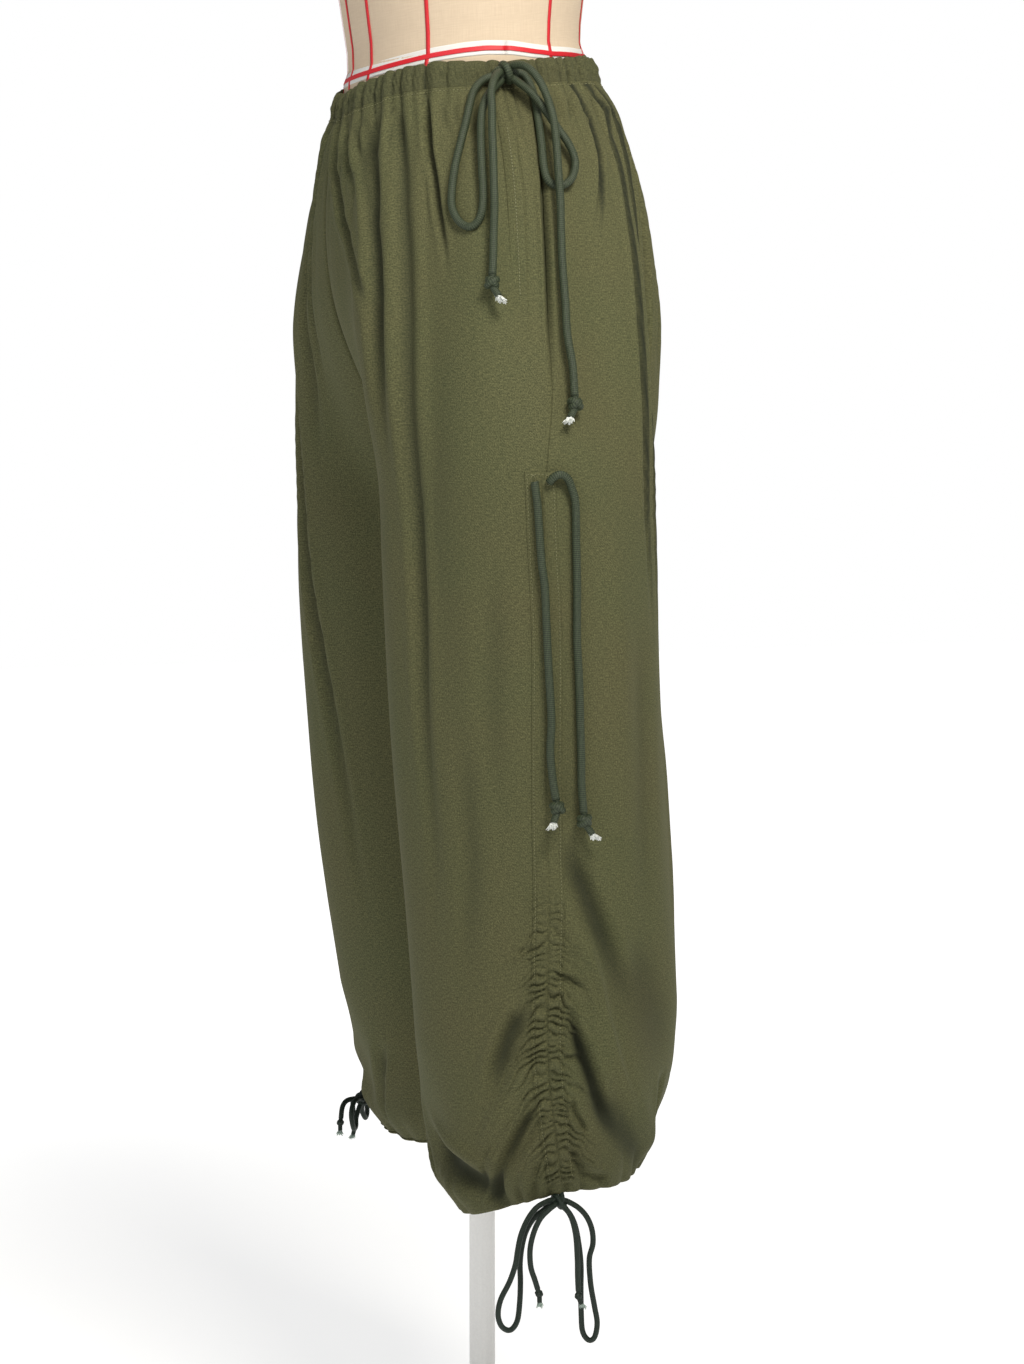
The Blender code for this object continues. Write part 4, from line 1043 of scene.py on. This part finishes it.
# The turns of a bow's knot, in cord thicknesses across, outward and up: a strand over the front, two
# strands through it, and at a hem one from above.
BOW_TURNS = {
    "wrap": ((-0.45, -0.9, 0.45), (-0.50, -0.25, 0.90), (-0.38, 0.60, 1.02), (-0.10, 1.25, 0.66),
             (0.15, 1.46, 0.05), (0.38, 1.25, -0.56), (0.50, 0.60, -0.92), (0.45, -0.20, -0.85),
             (0.30, -0.8, -0.4)),
    "upper": ((-1.50, 0.0, -0.10), (-0.9, 0.40, 0.38), (0.0, 0.60, 0.55), (0.9, 0.45, 0.34),
              (1.50, 0.0, -0.15)),
    "lower": ((-1.3, 0.35, -0.75), (-0.6, 0.50, -0.35), (0.0, 0.50, -0.25), (0.65, 0.50, -0.40),
              (1.3, 0.3, -0.85)),
    "riser": ((0.2, 0.9, -0.3), (0.55, 0.9, 0.5), (0.6, 0.5, 1.3), (0.4, -0.6, 2.3)),
}
TURN_SIZE = {"wrap": 0.98, "upper": 0.98, "lower": 0.96, "riser": 0.96}


def bow_knot(name, centre, thick, outward, across, finish, words=("wrap", "upper", "lower")):
    ways = across, outward, Vector((0, 0, 1))
    routes = []
    for word in words:
        points = [centre + thick * sum((a * way for a, way in zip(row, ways)), Vector())
                  for row in BOW_TURNS[word]]
        routes.append((word, points, TURN_SIZE[word], 0.22))
    wound(name, routes, thick, finish, name)


def make_cords():
    """The waist's and the channels' cord is the thicker; the hems' is finer, and its braid is painted darker
    for the shade at the hems.
    """
    stout = {"cord": braid("braided_polyester", "#171F12", "#62704F", "#161D11"),
             "core": frayed_core("white_cord_core", "#FAFBF7", "#A7ADA3")}
    # painted shade: the hem cord is the same braid, coloured darker because less light reaches the hems
    fine = {"cord": braid("shaded_fine_braided_polyester", "#0B170E", "#2A4030", "#0B150D"),
            "core": frayed_core("worn_cord_core", "#B9C9BE", "#6C7C72")}
    centre = cord_point(1, WAIST_KNOT)
    outward = Vector((0.95, -0.20, 0.10)).normalized()
    bow_knot("waist_knot", centre, WAIST_CORD, outward, Vector((0, 1, 0.05)), stout)
    for name, rows in WAIST_CORDS.items():
        points = [cord_point(1, row) for row in rows]
        tied(name, points, centre, WAIST_KNOT_RADIUS * START_SHARE, WAIST_CORD, stout)
    for side, word in SIDES:
        for name, rows in SIDE_CORDS.items():
            free_end(f"{word}_{name}", [cord_point(side, row) for row in rows], SIDE_CORD, stout)
        bow_knot(f"{word}_hem_knot", hem_knot(side), HEM_CORD, *hem_ways(side), fine, tuple(BOW_TURNS))
        for name, rows in HEM_CORDS[side].items():
            points = [hem_cord_point(side, row) for row in rows]
            tied(f"{word}_{name}", points, hem_knot(side), HEM_KNOT_RADIUS * START_SHARE, HEM_CORD, fine)


# ---- cloth ----


def sewn(name, stands_for, columns, rows, place, cloth, painted_shade, **how):
    return laid(name + "_cloth", columns, rows, place, cloth, "olive_cloth", painted_shade=painted_shade,
                stands_for=stands_for, **how)


def painted_shade_of(side, s, drop):
    """How much shade is painted into the cloth's colour, 0 to 1: in creases and puckers, gathers, deep folds
    and near the hem.
    """
    deep = np.clip(-(crease_relief(side, s, drop) + 1.3 * pucker_relief(side, s, drop)) / 0.010, 0.0, 1.0)
    across = across_of(side, s, drop)
    valley = np.where(s < 0, *(gathers(panel, side, across)[1] for panel in ("front", "back")))
    valley = 0.9 * valley * (1 - smooth((drop - 0.022) / 0.075))
    # painted shade: the cloth is painted darker in its last few centimetres above the hem
    hem_shade = 0.20 * smooth((drop - 0.90) / 0.08)
    return np.maximum(np.maximum(0.85 * np.maximum(deep**1.2, valley), fold_shade(s, drop)), hem_shade)


def make_panel(panel, side, word, cloth):
    def spot(u, v):
        drop = np.interp(1 - v, *PANEL_ROWS)
        front, back = reach_of(side, drop)
        line = read(SEAM_LINE, "back", np.minimum(drop, 0.5)) / 1000
        share = 1 - u if (panel == "front") == (side > 0) else u
        share = 0.35 * share + 0.65 * share**2
        return line - (front + line) * share if panel == "front" else line + (back - line) * share, drop

    def place(u, v):
        s, drop = spot(u, v)
        return surface(side, s, drop), np.stack([s, -drop], axis=1)

    name = f"{panel}_{word}"
    return sewn(name, name, PANEL_COLUMNS[side], 330, place, cloth,
                lambda u, v: painted_shade_of(side, *spot(u, v)), wall=CLOTH)


def casing_spots(u):
    """Round the waist from the middle of the front: each span's places, distances and shares across."""
    quarter = (u * 4) % 4
    k = np.minimum(quarter.astype(int), 3)
    t = quarter - k
    for i, (side, panel) in enumerate(CASING_SPANS):
        here = k == i
        share = t[here] if i in (0, 2) else 1 - t[here]
        turn = -1 if panel == "front" else 1
        s = turn * (1 - share) * reach_of(side, BAND_DEPTH)[(turn + 1) // 2]
        yield here, side, panel, s, across_of(side, s, 0 * s + BAND_DEPTH)


def make_waistband(cloth):
    """The gathered casing: cloth folded over the cord, flush with the panels where its seam is."""
    def place(u, v):
        round_at = 2 * math.pi * (0.01 + 0.98 * v - 0.25)
        points = np.zeros((len(u), 3))
        for here, side, panel, s, across in casing_spots(u):
            up, face = np.sin(round_at[here]), np.cos(round_at[here])
            face = np.sign(face) * np.abs(face) ** np.where(up < 0, 0.25, 0.7)
            sag = 0.5 - 0.5 * up
            height, flat = gathers(panel, side, across)[0], 0 * s + BAND_DEPTH
            swell = np.sin(math.pi * sag) * np.maximum(face, 0)
            wrinkle = 0.0008 * np.sin(across * 143 + 7 * sag) * np.sin(across * 61 - 5 * sag)
            wrinkle = (wrinkle + 0.0006 * np.sin(across * 290 - 11 * sag)) * swell
            valley = crease_relief(side, s, flat) * (0.4 + 0.6 * sag)
            inner = 0.5 - 0.5 * face
            lining = 0.3 * height - 0.0017
            front = np.maximum(height + 0.0003 + wrinkle + valley + 0.0007 * swell, lining + 0.0008)
            out = inner * lining + (1 - inner) * front
            uneven = 0.7 + 0.3 * np.sin(across * 31 + side + len(panel))
            spot = cloth_xyz(side, BAND_DEPTH * sag, direction(side, s, flat), out)
            spot[:, 2] += CASING_RISE * uneven * (height / GATHER_HEIGHT - GATHER_MEAN) * (1 - sag) ** 1.5
            points[here] = spot
        return points, np.stack([u * 0.82, v * 0.06], axis=1)

    def painted_shade(u, v):
        deep = np.zeros_like(u)
        for here, side, panel, _, across in casing_spots(u):
            # painted shade: the whole casing is painted a little darker against the top light on it, and
            # darker still between its gathers
            deep[here] = 0.26 + 0.66 * gathers(panel, side, across)[1]
        return deep

    return sewn("waist_casing", "waistband", 800, 34, place, cloth, painted_shade, closed=True, capped=False)


def make_hem(side, word, cloth):
    """The turned-in hem: the cord's casing inside the leg, closed round its folded edge."""
    def place(u, v):
        front, back = reach_of(side, HEM)
        s = -front + (front + back) * u
        fold = np.clip((v - 0.5) / 0.5, 0, 1)
        drop = np.where(v < 0.5, HEM - HEM_CASING * (1 - v / 0.5), HEM) + 0.0012 * np.sin(math.pi * fold)
        out = -0.0031 + 0.0030 * fold
        points = surface(side, np.clip(s, -front * 0.999, back * 0.999), np.minimum(drop, HEM), out)
        points[:, 2] -= np.maximum(drop - HEM, 0)
        return points, np.stack([s, -drop], axis=1)

    return sewn(f"hem_{word}", f"hem_casing_{word}", 360, 14, place, cloth, lambda u, v: 0 * u,
                wall=HEM_WALL)


def make_channel(side, word, cloth):
    """The drawcord channel up the side: a strip on each side of a middle seam, ruched on its cords."""
    def spot(u, v):
        drop = np.interp(1 - v, (0.0, 0.42, 1.0), (CHANNEL_TOP, 0.70, CHANNEL_END))
        away = (2 * u - 1) * (CHANNEL_HALF + 0.0008) * (1 if side > 0 else -1)
        return read(CHANNEL, "middle", drop) / 1000 + away, drop, away

    def place(u, v):
        s, drop, away = spot(u, v)
        crown = np.sqrt(np.clip(1 - (np.abs(away) / (CHANNEL_HALF + 0.0009)) ** 6, 0, 1))
        ends = smooth((drop - CHANNEL_TOP) / 0.002)
        sewn_in = 0.0009 * bell(away, 0.0011) + 0.0004 * bell(np.abs(away) - CHANNEL_ROW, 0.0008)
        out = 0.0002 + 0.0010 * crown * ends - sewn_in + 0.5 * pucker_relief(side, s, drop)
        return surface(side, s, drop, out), np.stack([s, -drop], axis=1)

    name = f"side_channel_{word}"
    return sewn(name, name, 34, 330, place, cloth, lambda u, v: painted_shade_of(side, *spot(u, v)[:2]),
                wall=CHANNEL_WALL)


def make_pocket(side, word, cloth):
    """The pocket mouth's folded edge, which stands proud of what lies behind it."""
    def spot(u, v):
        drop = 0.034 + 0.262 * (1 - v)
        edge = read(POCKET, "edge", drop) / 1000
        return edge - POCKET_WIDTH * ((1 - u) if side > 0 else u), drop, edge

    def place(u, v):
        s, drop, edge = spot(u, v)
        near = np.clip(1 + (s - edge) / POCKET_WIDTH, 0, 1)
        fade = smooth((0.290 - drop) / 0.14) * smooth((drop - 0.036) / 0.03)
        out = 0.0002 + 0.0030 * near**1.3 * fade - 0.0012 * (1 - fade)
        return surface(side, s, drop, out), np.stack([s, -drop], axis=1)

    name = f"pocket_edge_{word}"
    return sewn(name, name, 16, 120, place, cloth, lambda u, v: painted_shade_of(side, *spot(u, v)[:2]),
                wall=POCKET_WALL)


# ---- stitching: how far apart, how long and how thick its stitches are ----
ROW = (0.0031, 0.0015, 0.00045)
CASING_ROW = (0.0034, 0.0016, 0.00045)
TACK = (0.0080, 0.0068, 0.0006)
EYELET = (0.0006, 0.0005, 0.0007)
CASING_ROW_DROP = 0.0252


def stitch_row(bm, side, s, drop, out, pitch, long, thick):
    """Stitches along a line on the cloth: short bars that lie on it with a gap between them."""
    points = surface(side, s, drop, out)
    normals = surface(side, s, drop, out + 0.001) - points
    along = run_of(points)
    for k in range(int(along[-1] / pitch)):
        start, end = (Vector(at_runs(d, along, points)) for d in (k * pitch, k * pitch + long))
        size = (end - start).length
        if size < 1e-6:
            continue
        x = (end - start).normalized()
        y = Vector(at_runs(k * pitch, along, normals)).normalized().cross(x).normalized()
        made = bmesh.ops.create_cube(bm, size=1.0)["verts"]
        bmesh.ops.scale(bm, vec=(size, thick, thick * 0.7), verts=made)
        bmesh.ops.rotate(bm, matrix=Matrix((x, y, x.cross(y))).transposed(), verts=made)
        bmesh.ops.translate(bm, vec=(start + end) / 2, verts=made)


def make_stitching(side, word, finish):
    """The channel's two rows and its top, the pocket's row and its tack, and the two eyelets' bars."""
    bm = bmesh.new()
    drop = np.arange(CHANNEL_TOP + 0.002, CHANNEL_END - 0.004, 0.0007)
    for way in (-1, 1):
        s = read(CHANNEL, "middle", drop) / 1000 + way * CHANNEL_ROW
        stitch_row(bm, side, s, drop, 0.0011 + 0.5 * pucker_relief(side, s, drop), *ROW)
    half = CHANNEL_HALF - 0.0015
    s = np.linspace(-half, half, 30) + read(CHANNEL, "middle", CHANNEL_TOP) / 1000
    stitch_row(bm, side, s, 0 * s + CHANNEL_TOP + 0.002, 0.0013, *ROW)
    drop = np.arange(0.062, 0.214, 0.0007)
    stitch_row(bm, side, read(POCKET, "edge", drop) / 1000 - 0.0062, drop, 0.0020, *ROW)
    tack = np.linspace(-0.0075, -0.0005, 40)
    for k in range(6):
        at = 0.211 + 0.0006 * k
        stitch_row(bm, side, float(read(POCKET, "edge", at)) / 1000 + tack, 0 * tack + at, 0.0026, *TACK)
    for middle, level in EYELETS:
        for k in range(22):
            turn = 2 * math.pi * k / 22
            s = (middle + 1.9 * math.cos(turn) * np.array([0.8, 1.25])) / 1000
            drop = (level + 4.6 * math.sin(turn) * np.array([0.9, 1.1])) / 1000
            stitch_row(bm, side, s, drop, 0.0014, *EYELET)
    settled(f"stitching_{word}", bm, finish, "olive_cloth")


def make_casing_stitching(finish):
    """The one row that closes the waist casing, all round."""
    bm = bmesh.new()
    for side, _ in SIDES:
        front, back = reach_of(side, CASING_ROW_DROP)
        s = np.arange(-front + 0.001, back - 0.001, 0.0006)
        stitch_row(bm, side, s, 0 * s + CASING_ROW_DROP, 0.0004, *CASING_ROW)
    settled("stitching_casing", bm, finish, "olive_cloth")


# ---- dress form and stand ----
# The form's ovals, at heights above the waist's top edge.
FORM = {
    "height": (-0.240, -0.170, -0.120, -0.060, -0.0225, 0.002, 0.012, 0.030, 0.070, 0.130, 0.200, 0.270,
               0.330, 0.362, 0.385, 0.406, 0.470),
    "half_width": (0.150, 0.160, 0.156, 0.144, 0.1292, 0.1274, 0.1262, 0.1270, 0.1340, 0.1480, 0.1640, 0.1730,
                   0.1760, 0.1560, 0.0980, 0.0620, 0.0550),
    "half_depth": (0.092, 0.112, 0.115, 0.113, 0.1102, 0.1084, 0.1045, 0.1050, 0.1100, 0.1180, 0.1230, 0.1140,
                   0.0960, 0.0840, 0.0720, 0.0600, 0.0570),
    "y": (0.000, -0.001, -0.002, -0.003, -0.003, -0.004, -0.004, -0.004, -0.005, -0.006, -0.008, -0.008,
          -0.003, 0.002, 0.006, 0.006, 0.002),
}
TAPE_HALF = 0.0021
TAPE_WALL = 0.0003
# How the waist's tape waves on the form, in mm, from the middle of the front round to the back.
TAPE_LEVEL = {"angle": (-108, -95, -72, -35, -21, -10, 2.6, 14, 26, 50, 90, 120),
              "rise": (-2.0, -1.5, 0.0, 4.6, 5.3, 5.0, 2.6, -1.6, -4.8, -6.5, -4.0, 0.0)}
UPRIGHT_TAPES = (-90.0, -70.8, -37.4, 24.3, 58.0, 90.0, 122.0, 155.7, 217.4, 250.8)
UPRIGHT_FROM = -0.02
LEVEL_TAPES = ((0.0055, 1.0), (0.195, 0.0))  # height on the form, and whether the tape waves


def form_point(angle, height, out=0.0):
    """A point of the form's cover: angle from the wearer's left towards the back."""
    a, b, y = (np.interp(height, FORM["height"], FORM[key]) for key in ("half_width", "half_depth", "y"))
    px, py = (a + out) * np.cos(angle), y + (b + out) * np.sin(angle)
    tilt = WAIST_TILT * py * (1 - smooth(np.abs(height) / TILT_FADE))
    return np.stack([FORM_X + px, FORM_Y + py, WAIST_HEIGHT + height + tilt], axis=-1)


def make_form(linen, tape, white, metal):
    low, high = FORM["height"][0], FORM["height"][-1]

    def cover(u, v):
        angle, height = 2 * math.pi * u, low + (high - low) * v
        return form_point(angle, height), np.stack([angle * 0.13, height], axis=1)

    def upright(angle):
        def place(u, v):
            height = UPRIGHT_FROM + (high - UPRIGHT_FROM - 0.004) * v
            width = np.interp(height, FORM["height"], FORM["half_width"])
            turn = angle + (2 * u - 1) * TAPE_HALF / width
            return form_point(turn, height, 0.0007), np.stack([height, u], axis=1)
        return place

    def level(height, wavy=1.0, half=TAPE_HALF, out=0.0009):
        def place(u, v):
            turn = (360 * u + 108) % 360 - 108
            rise = wavy * np.interp(turn, TAPE_LEVEL["angle"], TAPE_LEVEL["rise"], right=0.0) / 1000
            points = form_point(2 * math.pi * u, height + rise + (2 * v - 1) * half, out)
            return points, np.stack([u * 0.8, v], axis=1)
        return place

    laid("form_cover", 128, 142, cover, linen, "linen", closed=True, stands_for="dress_form")
    for k, angle in enumerate(UPRIGHT_TAPES):
        laid(f"style_tape_{k}", 2, 120, upright(math.radians(angle)), tape, "linen", wall=TAPE_WALL)
    below = level(0.0060, half=0.0062, out=0.0003)
    laid("waist_tape_white", 160, 12, below, white, "linen", wall=TAPE_WALL)
    for k, (height, wavy) in enumerate(LEVEL_TAPES):
        laid(f"level_tape_{k}", 160, 6, level(height, wavy), tape, "linen", wall=TAPE_WALL)
    for name in ("base", "pole", "neck_cap"):
        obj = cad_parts[name]
        obj.data.materials.clear()
        obj.data.materials.append(metal)


def main():
    make_camera()
    make_cords()
    cloth, sewing = cotton(), thread()
    for side, word in SIDES:
        for panel in ("front", "back"):
            make_panel(panel, side, word, cloth)
    casing = make_waistband(cloth)
    for side, word in SIDES:
        hem = make_hem(side, word, cloth)
        channel = make_channel(side, word, cloth)
        pocket = make_pocket(side, word, cloth)
        make_stitching(side, word, sewing)
    make_casing_stitching(sewing)
    red = style_tape("red_woven_tape", "#B9141F", "#D8232E")
    white = style_tape("white_woven_tape", "#D6D4CF", "#E4E2DD")
    make_form(linen_cover(), red, white, satin_paint())
    make_stage()


main()
